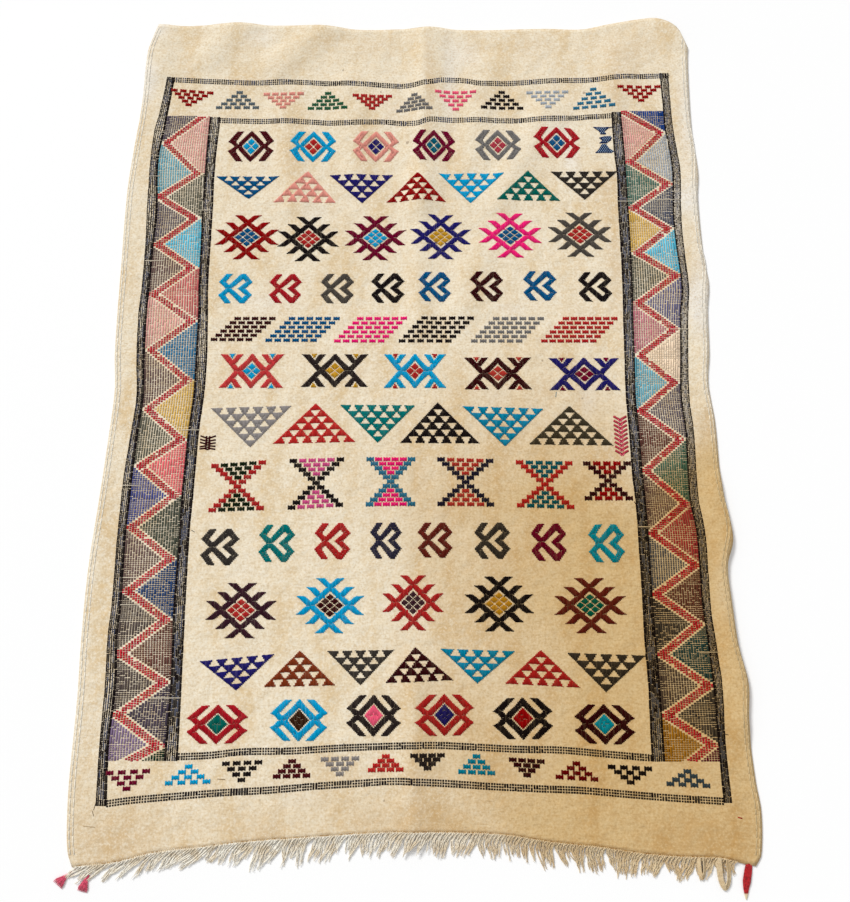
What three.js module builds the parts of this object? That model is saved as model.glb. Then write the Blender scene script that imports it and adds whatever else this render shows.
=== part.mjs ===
// Hand-woven wool kilim lying flat, with a warp fringe at its lower end and small corner tassels.
// Millimetres, +Z up. X runs across the width and +Y towards the plain end.
// The origin is under the middle of the whole rug, fringe included, on the surface it lies on.

import * as THREE from "three";

// Driving dimensions
const CLOTH_THICKNESS = 3;
const SELVEDGE_RISE = 1; // how far the bundled warps stand above the cloth
const SELVEDGE_INSET = 7; // from the woven edge to the top of the bundle
const SELVEDGE_WIDTH = 14;
const COLUMN_WIDTH = 36;
const ROW_LENGTH = 38;
const PIECE_GAP = 0.3;

// The woven edges, each a smooth line through a few measured places.
const LEFT_EDGE = [
  { y: -839, x: -583 },
  { y: -815, x: -593 },
  { y: -770, x: -599 },
  { y: -700, x: -602.5 },
  { y: -560, x: -602.5 },
  { y: -450, x: -606 },
  { y: -320, x: -605.5 },
  { y: -200, x: -598 },
  { y: -80, x: -591.5 },
  { y: 20, x: -588 },
  { y: 100, x: -595 },
  { y: 280, x: -599 },
  { y: 460, x: -601.5 },
  { y: 560, x: -596 },
  { y: 650, x: -589 },
  { y: 800, x: -585 },
  { y: 836, x: -577 },
  { y: 871, x: -566 },
];
const RIGHT_EDGE = [
  { y: -839, x: 597 },
  { y: -821, x: 608 },
  { y: -749, x: 615 },
  { y: -697, x: 610 },
  { y: -593, x: 606 },
  { y: -526, x: 611 },
  { y: -458, x: 599 },
  { y: -386, x: 594.5 },
  { y: -318, x: 592.5 },
  { y: -251, x: 607 },
  { y: -168, x: 596 },
  { y: -33, x: 594.5 },
  { y: 39, x: 588 },
  { y: 112, x: 595 },
  { y: 216, x: 600 },
  { y: 288, x: 607 },
  { y: 340, x: 601 },
  { y: 475, x: 600 },
  { y: 548, x: 605.5 },
  { y: 641, x: 600 },
  { y: 796, x: 603 },
  { y: 871, x: 607 },
];
const LOWER_EDGE = [
  { x: -583, y: -839 },
  { x: -509, y: -832 },
  { x: -447, y: -817.5 },
  { x: -367, y: -808.5 },
  { x: -291, y: -800 },
  { x: -156, y: -791 },
  { x: -26, y: -784 },
  { x: 60, y: -784.5 },
  { x: 161, y: -788 },
  { x: 248, y: -800 },
  { x: 330, y: -808 },
  { x: 408, y: -818.5 },
  { x: 471, y: -823 },
  { x: 537, y: -825 },
  { x: 576, y: -833 },
  { x: 597, y: -837 },
];
const UPPER_EDGE = [
  { x: -566, y: 871 },
  { x: -500, y: 869 },
  { x: -400, y: 875 },
  { x: -320, y: 870.5 },
  { x: -240, y: 870 },
  { x: -110, y: 859 },
  { x: 20, y: 862 },
  { x: 140, y: 858 },
  { x: 290, y: 862 },
  { x: 375, y: 860.5 },
  { x: 440, y: 875 },
  { x: 525, y: 888.5 },
  { x: 565, y: 877 },
  { x: 587, y: 859 },
  { x: 597, y: 835 },
  { x: 607, y: 812 },
];

// Soft ridges where the cloth was folded and has not settled: each runs between two points.
const FOLDS = [
  { x1: 38, y1: 860, x2: 18, y2: 440, height: 7, reach: 62 }, // lengthwise fold, plain end
  { x1: 18, y1: 470, x2: 14, y2: 160, height: 4, reach: 55 },
  { x1: 8, y1: -520, x2: 10, y2: -800, height: 5, reach: 58 }, // lengthwise fold, fringe end
  { x1: -180, y1: 880, x2: -300, y2: 765, height: 6, reach: 58 },
  { x1: -370, y1: 890, x2: -450, y2: 790, height: 5, reach: 58 },
  { x1: -560, y1: 880, x2: -560, y2: 760, height: 4, reach: 56 },
  { x1: -280, y1: 640, x2: -250, y2: 440, height: 4, reach: 56 },
  { x1: -140, y1: 720, x2: -120, y2: 500, height: 4, reach: 56 },
  { x1: 165, y1: 760, x2: 120, y2: 520, height: 4, reach: 56 },
  { x1: 290, y1: 650, x2: 180, y2: 440, height: 6, reach: 60 },
  { x1: 135, y1: 310, x2: 100, y2: 190, height: 4, reach: 56 },
  { x1: 450, y1: 800, x2: 440, y2: 690, height: 4, reach: 56 },
  { x1: 604, y1: -180, x2: 610, y2: -600, height: 6, reach: 56 }, // right selvedge lifts and curls
  { x1: 596, y1: 850, x2: 560, y2: 880, height: 6, reach: 60 }, // upper right corner
];

// Warp ends: how they lean from straight down (degrees, to the right) and how long they are.
const FRINGE_THICKNESS = 2;
const FRINGE_HEADING = 5;
const FRINGE_START = -575;
const FRINGE_END = 566;
const LOCKS_PER_COLUMN = 2;
const LOCK_ROOT = 0.62; // share of a lock's pitch that its root fills
const LOCK_SECTIONS = [
  { fall: 0.45, sweep: 0.65, width: 0.73 }, // shares of the length, the lean and the root's width
  { fall: 1, sweep: 1, width: 0.4 },
];
const FRINGE_LAY = [
  { x: -562, lean: -50, length: 8 },
  { x: -541, lean: -50, length: 13 },
  { x: -500, lean: -50, length: 44 },
  { x: -440, lean: -46, length: 52 },
  { x: -278, lean: -34, length: 44 },
  { x: -100, lean: -28, length: 38 },
  { x: 26, lean: -28, length: 36 },
  { x: 155, lean: -22, length: 38 },
  { x: 258, lean: -4, length: 38 },
  { x: 404, lean: 8, length: 42 },
  { x: 500, lean: 2, length: 38 },
  { x: 560, lean: -6, length: 40 },
];

// Tassels: sections from root to tip, each with its centre, width and height.
const RIGHT_TASSEL = [
  { x: 585, y: -835.14, width: 13, height: 3 },
  { x: 583, y: -844.34, width: 15, height: 5 },
  { x: 579, y: -859.34, width: 16, height: 6 },
  { x: 577, y: -869.34, width: 12, height: 5 },
  { x: 576.5, y: -878.34, width: 8, height: 4 },
  { x: 576, y: -888.34, width: 4, height: 3 },
];
const LEFT_TASSEL = [
  { x: -575, y: -842.9, width: 9, height: 3 },
  { x: -584, y: -846.8, width: 6, height: 3 },
  { x: -592, y: -851.8, width: 6, height: 3 },
  { x: -599.5, y: -858.8, width: 16, height: 5 },
  { x: -602.7, y: -863.8, width: 25, height: 5 },
  { x: -604.6, y: -866.8, width: 24, height: 3 },
];
const FRINGE_TASSEL = [
  { x: -552, y: -849.9, width: 3, height: 3 },
  { x: -555, y: -856.9, width: 8, height: 5 },
  { x: -558.5, y: -865.9, width: 18, height: 5 },
  { x: -559.5, y: -873.9, width: 24, height: 5 },
  { x: -560.5, y: -877.9, width: 22, height: 3 },
];
const TASSEL_SIDES = 8;

const CREAM_WOOL = { color: 0xe6d3b0, roughness: 0.95, metalness: 0 };
const WARP_WOOL = { color: 0xeadfc8, roughness: 0.95, metalness: 0 };
const RED_WOOL = { color: 0xa01f2c, roughness: 0.9, metalness: 0 };
const PINK_WOOL = { color: 0xcb4660, roughness: 0.9, metalness: 0 };

// Value of a table's column at a place along another, on a smooth curve through its rows.
function smoothAt(table, along, place, column) {
  const last = table.length - 2;
  let i = 0;
  while (i < last && place > table[i + 1][along]) {
    i += 1;
  }
  const slope = (k) => {
    const before = table[Math.max(k - 1, 0)];
    const after = table[Math.min(k + 1, table.length - 1)];
    return (after[column] - before[column]) / (after[along] - before[along]);
  };
  const span = table[i + 1][along] - table[i][along];
  const t = THREE.MathUtils.clamp((place - table[i][along]) / span, 0, 1);
  const s = t * t * (3 - 2 * t);
  const straight = table[i][column] * (1 - s) + table[i + 1][column] * s;
  const bend = t * (1 - t) * ((1 - t) * slope(i) - t * slope(i + 1)) * span;
  return straight + bend;
}

// Height of the cloth's underside above the surface: 0 wherever no fold lifts it.
function foldHeight(x, y) {
  let total = 0;
  for (const fold of FOLDS) {
    const dx = fold.x2 - fold.x1;
    const dy = fold.y2 - fold.y1;
    const run = Math.hypot(dx, dy);
    const along = ((x - fold.x1) * dx + (y - fold.y1) * dy) / run;
    const past = Math.max(-along, along - run, 0);
    const aside = ((x - fold.x1) * dy - (y - fold.y1) * dx) / run;
    const away = Math.hypot(aside, past) / fold.reach;
    if (away < 1) {
      total += (fold.height * (1 + Math.cos(Math.PI * away))) / 2;
    }
  }
  return total;
}

// A closed slab from its upper surface. Each point is x, y, z and its own thickness.
function slab(points, quads) {
  const positions = [];
  for (const p of points) {
    positions.push(p.x, p.y, p.z + p.thickness);
  }
  for (const p of points) {
    positions.push(p.x, p.y, p.z);
  }
  const under = points.length;
  const indices = [];
  const rims = new Map();
  for (const [a, b, c, d] of quads) {
    indices.push(a, b, c, a, c, d);
    indices.push(under + a, under + c, under + b, under + a, under + d, under + c);
    for (const [from, to] of [[a, b], [b, c], [c, d], [d, a]]) {
      if (!rims.delete(`${to},${from}`)) {
        rims.set(`${from},${to}`, [from, to]);
      }
    }
  }
  for (const [from, to] of rims.values()) {
    indices.push(from, under + from, under + to, from, under + to, to);
  }
  const geometry = new THREE.BufferGeometry();
  geometry.setAttribute("position", new THREE.Float32BufferAttribute(positions, 3));
  geometry.setIndex(indices);
  geometry.computeVertexNormals();
  return geometry;
}

// Shares of the width at which the cloth's columns stand: close together at the selvedges.
function columnShares() {
  const width = RIGHT_EDGE[0].x - LEFT_EDGE[0].x;
  const inner = width - 2 * SELVEDGE_WIDTH;
  const count = Math.round(inner / COLUMN_WIDTH);
  const shares = [0, SELVEDGE_INSET / width];
  for (let i = 0; i <= count; i += 1) {
    shares.push((SELVEDGE_WIDTH + (inner * i) / count) / width);
  }
  shares.push(1 - SELVEDGE_INSET / width, 1);
  return shares;
}

// A point of the cloth, from its shares of the width and the length.
function clothPoint(across, along) {
  const evenY = THREE.MathUtils.lerp(LOWER_EDGE[0].y, UPPER_EDGE[0].y, along);
  const left = smoothAt(LEFT_EDGE, "y", evenY, "x");
  const right = smoothAt(RIGHT_EDGE, "y", evenY, "x");
  const x = THREE.MathUtils.lerp(left, right, across);
  const low = smoothAt(LOWER_EDGE, "x", x, "y");
  const high = smoothAt(UPPER_EDGE, "x", x, "y");
  const y = THREE.MathUtils.lerp(low, high, along);
  return { x, y, z: foldHeight(x, y), thickness: CLOTH_THICKNESS };
}

function clothGeometry(shares) {
  const rows = Math.round((UPPER_EDGE[0].y - LOWER_EDGE[0].y) / ROW_LENGTH);
  const columns = shares.length;
  const points = [];
  const quads = [];
  for (let row = 0; row <= rows; row += 1) {
    for (let column = 0; column < columns; column += 1) {
      const point = clothPoint(shares[column], row / rows);
      if (column === 1 || column === columns - 2) {
        point.thickness += SELVEDGE_RISE;
      }
      points.push(point);
      if (row > 0 && column > 0) {
        const corner = row * columns + column;
        quads.push([corner - columns - 1, corner - columns, corner, corner - 1]);
      }
    }
  }
  return slab(points, quads);
}

// Places along the cloth's lower edge: two at the root of each lock, and one between columns.
function fringeStations(shares) {
  const edge = shares.map((share) => clothPoint(share, 0));
  const stations = [];
  for (let i = 1; i < edge.length; i += 1) {
    const from = edge[i - 1];
    const to = edge[i];
    if (from.x < FRINGE_START || to.x > FRINGE_END) {
      continue;
    }
    const add = (share, root) => {
      const x = THREE.MathUtils.lerp(from.x, to.x, share);
      const y = THREE.MathUtils.lerp(from.y, to.y, share) - PIECE_GAP;
      stations.push({ x, y, root });
    };
    for (let k = 0; k < LOCKS_PER_COLUMN; k += 1) {
      add((k + (1 - LOCK_ROOT) / 2) / LOCKS_PER_COLUMN, "left");
      add((k + (1 + LOCK_ROOT) / 2) / LOCKS_PER_COLUMN, "right");
    }
    add(1, "none");
  }
  return stations;
}

// One comb: a heading along the cloth's lower edge, and a lock of warp ends at each pair of roots.
function fringeGeometry(shares) {
  const points = [];
  const quads = [];
  const add = (x, y) => {
    points.push({ x, y, z: foldHeight(x, y), thickness: FRINGE_THICKNESS });
    return points.length - 1;
  };
  let before = null;
  let leftRoot = null;
  for (const { x, y, root } of fringeStations(shares)) {
    const here = { x, y, low: add(x, y - FRINGE_HEADING), high: add(x, y) };
    if (before) {
      quads.push([before.low, here.low, here.high, before.high]);
    }
    if (root === "left") {
      leftRoot = here;
    }
    if (root === "right") {
      const middle = (leftRoot.x + here.x) / 2;
      const foot = (leftRoot.y + here.y) / 2 - FRINGE_HEADING;
      const lean = THREE.MathUtils.degToRad(smoothAt(FRINGE_LAY, "x", middle, "lean"));
      const length = smoothAt(FRINGE_LAY, "x", middle, "length");
      let above = [leftRoot.low, here.low];
      for (const section of LOCK_SECTIONS) {
        const half = ((here.x - leftRoot.x) / 2) * section.width;
        const aside = middle + Math.sin(lean) * length * section.sweep;
        const down = foot - Math.cos(lean) * length * section.fall;
        const below = [add(aside - half, down), add(aside + half, down)];
        quads.push([below[0], below[1], above[1], above[0]]);
        above = below;
      }
    }
    before = here;
  }
  return slab(points, quads);
}

// A bundle of yarn resting on the surface, lofted through its sections.
function bundleGeometry(sections) {
  const positions = [];
  const indices = [];
  sections.forEach((section, i) => {
    const before = sections[Math.max(i - 1, 0)];
    const after = sections[Math.min(i + 1, sections.length - 1)];
    const run = new THREE.Vector2(after.x - before.x, after.y - before.y).normalize();
    for (let k = 0; k < TASSEL_SIDES; k += 1) {
      const turn = (2 * Math.PI * k) / TASSEL_SIDES;
      const aside = (Math.cos(turn) * section.width) / 2;
      positions.push(section.x - run.y * aside, section.y + run.x * aside);
      positions.push(((1 + Math.sin(turn)) * section.height) / 2);
      if (i > 0) {
        const here = i * TASSEL_SIDES;
        const next = (k + 1) % TASSEL_SIDES;
        const back = here - TASSEL_SIDES;
        indices.push(back + k, here + next, here + k, back + k, back + next, here + next);
      }
    }
  });
  const tip = (sections.length - 1) * TASSEL_SIDES;
  for (let k = 2; k < TASSEL_SIDES; k += 1) {
    indices.push(0, k, k - 1);
    indices.push(tip, tip + k - 1, tip + k);
  }
  const geometry = new THREE.BufferGeometry();
  geometry.setAttribute("position", new THREE.Float32BufferAttribute(positions, 3));
  geometry.setIndex(indices);
  geometry.computeVertexNormals();
  return geometry;
}

const rug = new THREE.Group();

function addPiece(name, geometry, look) {
  const mesh = new THREE.Mesh(geometry, new THREE.MeshStandardMaterial(look));
  mesh.name = name;
  rug.add(mesh);
}

const shares = columnShares();
addPiece("kilim_cloth", clothGeometry(shares), CREAM_WOOL);
addPiece("warp_fringe", fringeGeometry(shares), WARP_WOOL);
addPiece("right_corner_tassel", bundleGeometry(RIGHT_TASSEL), RED_WOOL);
addPiece("left_corner_tassel", bundleGeometry(LEFT_TASSEL), PINK_WOOL);
addPiece("left_fringe_tassel", bundleGeometry(FRINGE_TASSEL), PINK_WOOL);

export default rug;
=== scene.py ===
import math
import random

import bmesh
import bpy
import numpy as np
from mathutils import Matrix


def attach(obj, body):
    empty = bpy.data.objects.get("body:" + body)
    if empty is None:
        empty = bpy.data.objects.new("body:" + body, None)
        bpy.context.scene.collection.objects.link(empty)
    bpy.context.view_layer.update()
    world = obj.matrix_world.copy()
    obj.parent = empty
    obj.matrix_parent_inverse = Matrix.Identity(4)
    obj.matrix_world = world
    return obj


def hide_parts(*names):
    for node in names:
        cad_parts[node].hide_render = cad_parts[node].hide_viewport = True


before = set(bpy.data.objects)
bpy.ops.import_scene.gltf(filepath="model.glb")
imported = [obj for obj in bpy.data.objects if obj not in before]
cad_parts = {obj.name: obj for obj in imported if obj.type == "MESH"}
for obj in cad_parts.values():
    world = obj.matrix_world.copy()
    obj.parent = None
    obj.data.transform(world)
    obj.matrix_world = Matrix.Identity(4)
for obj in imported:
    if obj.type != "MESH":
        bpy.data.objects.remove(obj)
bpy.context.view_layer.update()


# Camera
# It stands over the rug's fringed half, tipped a little towards the far end, as the photograph was taken.
IMAGE_WIDTH = 850
FOCAL_PIXELS = 750
camera_lens = bpy.data.cameras.new("camera")
camera_lens.sensor_fit = "HORIZONTAL"
camera_lens.sensor_width = 36
camera_lens.lens = camera_lens.sensor_width * FOCAL_PIXELS / IMAGE_WIDTH
camera = bpy.data.objects.new("camera", camera_lens)
camera.location = (0.026, -0.425, 1.4235)
camera.rotation_euler = (math.radians(12.8), 0, 0)
bpy.context.scene.collection.objects.link(camera)
bpy.context.scene.camera = camera


# Rug cloth
# One loom width of cream wool in plain weave, 3 mm thick, with wavy selvedges and a hollow lower edge. It is
# cut off the loom in one piece and lies flat, apart from soft folds and the ridges that folding has left.
MM = 0.001
CLOTH_THICKNESS = 3
CLOTH_COLUMNS = 148
CLOTH_ROWS = 212
LEFT_EDGE = [
    (-839, -583), (-815, -593), (-770, -599), (-700, -602.5), (-560, -602.5), (-450, -606),
    (-320, -605.5), (-200, -598), (-80, -591.5), (20, -588), (100, -595), (280, -599), (460, -601.5),
    (560, -596), (650, -589), (800, -585), (836, -577), (871, -566),
]
RIGHT_EDGE = [
    (-839, 597), (-821, 608), (-749, 615), (-697, 610), (-593, 606), (-526, 611), (-458, 599),
    (-386, 594.5), (-318, 592.5), (-251, 607), (-168, 596), (-33, 594.5), (39, 588), (112, 595),
    (216, 600), (288, 607), (340, 601), (475, 600), (548, 605.5), (641, 600), (796, 603), (871, 607),
]
LOWER_EDGE = [
    (-583, -839), (-509, -832), (-447, -817.5), (-367, -808.5), (-291, -800), (-156, -791), (-26, -784),
    (60, -784.5), (161, -788), (248, -800), (330, -808), (408, -818.5), (471, -823), (537, -825),
    (576, -833), (597, -837),
]
UPPER_EDGE = [
    (-566, 871), (-500, 869), (-400, 875), (-320, 870.5), (-240, 870), (-110, 859), (20, 862), (140, 858),
    (290, 862), (375, 860.5), (440, 875), (525, 888.5), (565, 877), (587, 859), (597, 835), (607, 812),
]
# Soft folds, from x1, y1 to x2, y2, with their height and reach.
FOLDS = [
    (38, 860, 18, 440, 7, 62), (18, 470, 14, 160, 4, 55), (8, -520, 10, -800, 5, 58),
    (-180, 880, -300, 765, 6, 58), (-370, 890, -450, 790, 5, 58), (-560, 880, -560, 760, 4, 56),
    (-280, 640, -250, 440, 4, 56), (-140, 720, -120, 500, 4, 56), (165, 760, 120, 520, 4, 56),
    (290, 650, 180, 440, 6, 60), (135, 310, 100, 190, 4, 56), (450, 800, 440, 690, 4, 56),
    (604, -180, 610, -600, 6, 56), (596, 850, 560, 880, 6, 60),
]
# Narrow creases left by folding, 0.5 to 1.6 mm high, listed like the folds.
CREASES = [
    (24, 850, 18, 440, 1.6, 16), (18, 440, 8, 160, 1.0, 16), (6, -540, 8, -790, 1.4, 16),
    (-440, 870, -250, 700, 1.0, 22), (-520, 820, -380, 700, 0.8, 20), (-60, 830, -120, 640, 0.8, 24),
    (-330, 600, -300, 430, 0.7, 20), (-150, 700, -170, 560, 0.8, 22), (120, 800, 150, 640, 0.8, 22),
    (230, 700, 160, 520, 1.0, 22), (330, 640, 250, 440, 0.9, 22), (400, 760, 380, 620, 0.8, 22),
    (500, 860, 470, 720, 0.9, 22), (100, 420, 60, 250, 0.7, 20), (-420, 300, -400, 120, 0.5, 20),
    (240, 100, 210, -30, 0.8, 26), (40, -120, 60, -260, 0.5, 24), (-150, -520, -60, -580, 0.9, 14),
    (-360, -480, -280, -440, 0.7, 16), (-240, -740, -260, -800, 0.8, 20),
    (-190, -730, -210, -800, 0.8, 18), (570, -120, 585, -330, 1.0, 20), (580, -420, 590, -600, 1.0, 20),
    (470, 330, 500, 150, 0.6, 20), (560, 420, 575, 160, 0.9, 18), (-575, 800, -580, 600, 0.6, 16),
    (60, -720, 55, -790, 0.8, 20),
]

# Soft patches, tan above 0 and pale below 0: partly wool that has yellowed and wool that stayed pale, partly
# painted shade and painted light on the sides of folds, and painted sheen along the selvedges. The middle, the
# reach across and along, and the share.
PATCHES = [
    (415, 480, 26, 50, 1.0), (416, 290, 20, 130, 0.9), (446, 700, 24, 80, 0.9), (150, 685, 32, 24, 0.9),
    (36, 720, 16, 160, 0.8), (78, 705, 20, 130, -0.7), (-113, 560, 18, 85, 0.7), (-255, 530, 24, 85, 0.6),
    (-475, 850, 22, 40, 0.6), (203, 473, 32, 16, 0.6), (340, 705, 24, 45, 0.5), (118, 225, 14, 45, 0.5),
    (266, 12, 18, 55, 0.6), (337, 190, 34, 34, 0.4), (392, -93, 44, 44, 0.6), (575, -43, 34, 34, 0.8),
    (-576, -200, 28, 70, 0.5), (-578, 228, 28, 44, 0.5), (-580, -43, 26, 34, 0.4),
    (-572, -290, 28, 40, 0.4), (-180, -293, 26, 34, 0.3), (-64, -262, 16, 100, 0.5),
    (18, -160, 14, 95, 0.4), (5, -692, 20, 60, 0.6), (160, -690, 55, 45, 0.5), (-397, -655, 40, 30, 0.4),
    (-363, -193, 34, 26, 0.35), (-520, -800, 90, 50, 0.8), (-560, 815, 22, 30, 0.5),
    (-545, 640, 18, 80, 0.4), (-300, 770, 60, 22, 0.4), (-180, 830, 50, 18, 0.5),
    (-575, 850, 34, 44, -1.0), (-580, 725, 26, 60, -1.0), (-338, 840, 40, 30, -0.6),
    (120, 790, 40, 46, -0.6), (303, 600, 40, 34, -0.6), (338, 538, 20, 55, -0.8),
    (-197, 407, 34, 30, -0.5), (-297, 207, 64, 28, -0.5), (-130, 65, 36, 30, -0.6),
    (170, 8, 34, 30, -0.5), (346, 10, 20, 64, -0.8), (578, 440, 30, 34, -1.0), (578, 200, 28, 60, -0.9),
    (588, 620, 20, 160, -0.7), (320, -227, 40, 34, -0.4), (53, -227, 30, 34, -0.4),
    (160, -310, 36, 34, -0.4), (-205, -730, 60, 40, -0.5), (-313, -327, 34, 40, -0.3),
    (588, -350, 18, 60, -0.8), (-500, 740, 22, 60, -0.4), (-250, -790, 40, 18, 0.5),
    (-40, 640, 30, 60, -0.4), (210, 560, 18, 60, -0.5), (10, -765, 130, 50, 0.6),
    (510, -795, 140, 45, 0.65), (-270, -765, 120, 30, 0.45), (480, 810, 90, 60, 0.6),
    (260, 815, 60, 40, 0.55), (-90, 815, 60, 40, 0.5), (592, 250, 22, 130, -0.5),
    (200, 190, 40, 30, -0.5), (585, -380, 22, 50, -0.6), (-600, 100, 14, 500, -0.3),
    (607, 300, 12, 500, -0.3), (-578, -600, 22, 120, 0.5),
]


def follow(table, place):
    """The value at a place on a smooth curve through the rows of a table, for one place or many."""
    stops = np.array([row[0] for row in table], float)
    values = np.array([row[1] for row in table], float)
    slopes = np.empty(len(table))
    slopes[1:-1] = (values[2:] - values[:-2]) / (stops[2:] - stops[:-2])
    slopes[0] = (values[1] - values[0]) / (stops[1] - stops[0])
    slopes[-1] = (values[-1] - values[-2]) / (stops[-1] - stops[-2])
    i = np.clip(np.searchsorted(stops, place) - 1, 0, len(table) - 2)
    span = stops[i + 1] - stops[i]
    t = np.clip((place - stops[i]) / span, 0, 1)
    s = t * t * (3 - 2 * t)
    bend = t * (1 - t) * ((1 - t) * slopes[i] - t * slopes[i + 1]) * span
    return values[i] * (1 - s) + values[i + 1] * s + bend


def lift(x, y):
    """How far folds and creases hold the cloth's underside above the floor, in millimetres."""
    total = np.zeros(np.broadcast(x, y).shape)
    for x1, y1, x2, y2, height, reach in FOLDS + CREASES:
        run = math.hypot(x2 - x1, y2 - y1)
        along = ((x - x1) * (x2 - x1) + (y - y1) * (y2 - y1)) / run
        past = np.maximum(np.maximum(-along, along - run), 0)
        aside = ((x - x1) * (y2 - y1) - (y - y1) * (x2 - x1)) / run
        away = np.minimum(np.hypot(aside, past) / reach, 1)
        total = total + height * (1 + np.cos(math.pi * away)) / 2
    return total


def cloth_place(across, along):
    """A point of the cloth from its shares of the width and the length."""
    even_y = LOWER_EDGE[0][1] + (UPPER_EDGE[0][1] - LOWER_EDGE[0][1]) * along
    left = follow(LEFT_EDGE, even_y)
    x = left + (follow(RIGHT_EDGE, even_y) - left) * across
    low = follow(LOWER_EDGE, x)
    return x, low + (follow(UPPER_EDGE, x) - low) * along


def new_piece(name, mesh, material):
    """An object that rides on the rug, with its place in its mesh."""
    piece = bpy.data.objects.new(name, mesh)
    bpy.context.scene.collection.objects.link(piece)
    if material:
        mesh.materials.clear()
        mesh.materials.append(material)
    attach(piece, "root")
    return piece


def linear(red, green, blue):
    """A colour of the photograph, 0 to 255, as Blender's linear numbers."""
    return tuple(((c / 255 + 0.055) / 1.055) ** 2.4 if c > 10 else c / 3295 for c in (red, green, blue))


def paint(red, green, blue):
    """The same as a solid colour for a shader's socket."""
    return (*linear(red, green, blue), 1)


weave = bmesh.new()
bmesh.ops.create_grid(weave, x_segments=CLOTH_COLUMNS, y_segments=CLOTH_ROWS, size=0.5)
shares = np.array([(v.co.x + 0.5, v.co.y + 0.5) for v in weave.verts])
cloth_x, cloth_y = cloth_place(shares[:, 0], shares[:, 1])
cloth_z = lift(cloth_x, cloth_y)
for v, x, y, z in zip(weave.verts, cloth_x, cloth_y, cloth_z):
    v.co = (x * MM, y * MM, z * MM)
upper = bmesh.ops.extrude_face_region(weave, geom=weave.faces[:], use_keep_orig=True)["geom"]
for v in upper:
    if isinstance(v, bmesh.types.BMVert):
        v.co.z += CLOTH_THICKNESS * MM
bmesh.ops.recalc_face_normals(weave, faces=weave.faces[:])
for face in weave.faces:
    face.smooth = True
cloth_mesh = bpy.data.meshes.new("rug_cloth")
weave.to_mesh(cloth_mesh)
weave.free()
spots = np.empty(len(cloth_mesh.vertices) * 3)
cloth_mesh.vertices.foreach_get("co", spots)
spot_x, spot_y = (spots.reshape(-1, 3)[:, :2] / MM).T
# The patches as one attribute: yellowed and pale wool, with painted shade and painted light of folds and
# selvedges.
yellowing = np.zeros(len(spot_x))
for x, y, across, along, share in PATCHES:
    yellowing += share * np.exp(-((spot_x - x) / across) ** 2 - ((spot_y - y) / along) ** 2)
cloth_mesh.attributes.new("yellowing", "FLOAT", "POINT").data.foreach_set("value", yellowing)


def shader(name, roughness, sheen):
    """A new node material, with its Principled shader and a function that adds and links a node."""
    material = bpy.data.materials.new(name)
    material.use_nodes = True
    tree = material.node_tree
    surface = tree.nodes["Principled BSDF"]
    surface.inputs["Roughness"].default_value = roughness
    surface.inputs["Sheen Weight"].default_value = sheen
    surface.inputs["Specular IOR Level"].default_value = 0.06

    def add(kind, settings=(), **sockets):
        made = tree.nodes.new("ShaderNode" + kind)
        for key, value in dict(settings).items():
            setattr(made, key, value)
        for key, value in sockets.items():
            socket = made.inputs[int(key[1:])] if key[0] == "_" else made.inputs[key]
            if isinstance(value, bpy.types.NodeSocket):
                tree.links.new(value, socket)
            else:
                socket.default_value = value
        return made

    return material, surface, add


def mix(add, share, one, other, blend="MIX"):
    """A colour mix. one and other are colours or sockets."""
    made = add("Mix", {"data_type": "RGBA", "blend_type": blend}, _0=share, _6=one, _7=other)
    return made.outputs[2]


def graded(add, value, low, high, start=0.0, end=1.0):
    """A smooth step of a value between two limits."""
    return add("MapRange", {"interpolation_type": "SMOOTHSTEP"}, _0=value, _1=low, _2=high, _3=start,
               _4=end).outputs[0]


def sums(add, operation, one, other):
    """A sum, a product or the like of two values."""
    return add("Math", {"operation": operation}, _0=one, _1=other).outputs[0]


def speckle(add, place, scale, stretch=(1, 1, 1), detail=2.0, rough=0.5):
    """Fine or broad noise on the rug's own coordinates."""
    mapped = add("Mapping", Vector=place, Scale=stretch).outputs[0]
    return add("TexNoise", Vector=mapped, Scale=scale, Detail=detail, Roughness=rough).outputs["Fac"]


# The warm brown of the lower right: partly painted shade, partly wool browned with age.
BROWN_AND_SHADE_TINT = paint(225, 204, 166)


def brown_and_shade(add, place, colour, hem_share=0.8):
    """Warm brown towards the rug's lower right corner and along the bottom hem: partly painted shade where the
    light falls off, partly wool browned with age and use.
    """
    wander = speckle(add, place, 3.2)
    at = add("SeparateXYZ", Vector=place)
    bend = sums(add, "MULTIPLY", sums(add, "SUBTRACT", wander, 0.5), 0.55)
    right = sums(add, "ADD", at.outputs[0], bend)
    down = sums(add, "ADD", at.outputs[1], bend)
    lower_right = sums(add, "MULTIPLY", graded(add, right, -0.2, 0.34), graded(add, down, 0.14, -0.2))
    hem = sums(add, "MULTIPLY", graded(add, down, -0.64, -0.84, 0.0, hem_share),
               graded(add, at.outputs[0], -0.16, 0.14, 0.3, 1.0))
    share = sums(add, "MAXIMUM", lower_right, hem)
    return mix(add, share, colour, mix(add, 1.0, colour, BROWN_AND_SHADE_TINT, "MULTIPLY"))


cream_wool, surface, add = shader("cream_wool", 0.93, 0.15)
place = add("TexCoord").outputs["Object"]
ground = mix(add, graded(add, speckle(add, place, 17.0, (1, 0.35, 1), detail=3.0), 0.42, 0.68),
             paint(242, 226, 197), paint(229, 203, 160))
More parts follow.
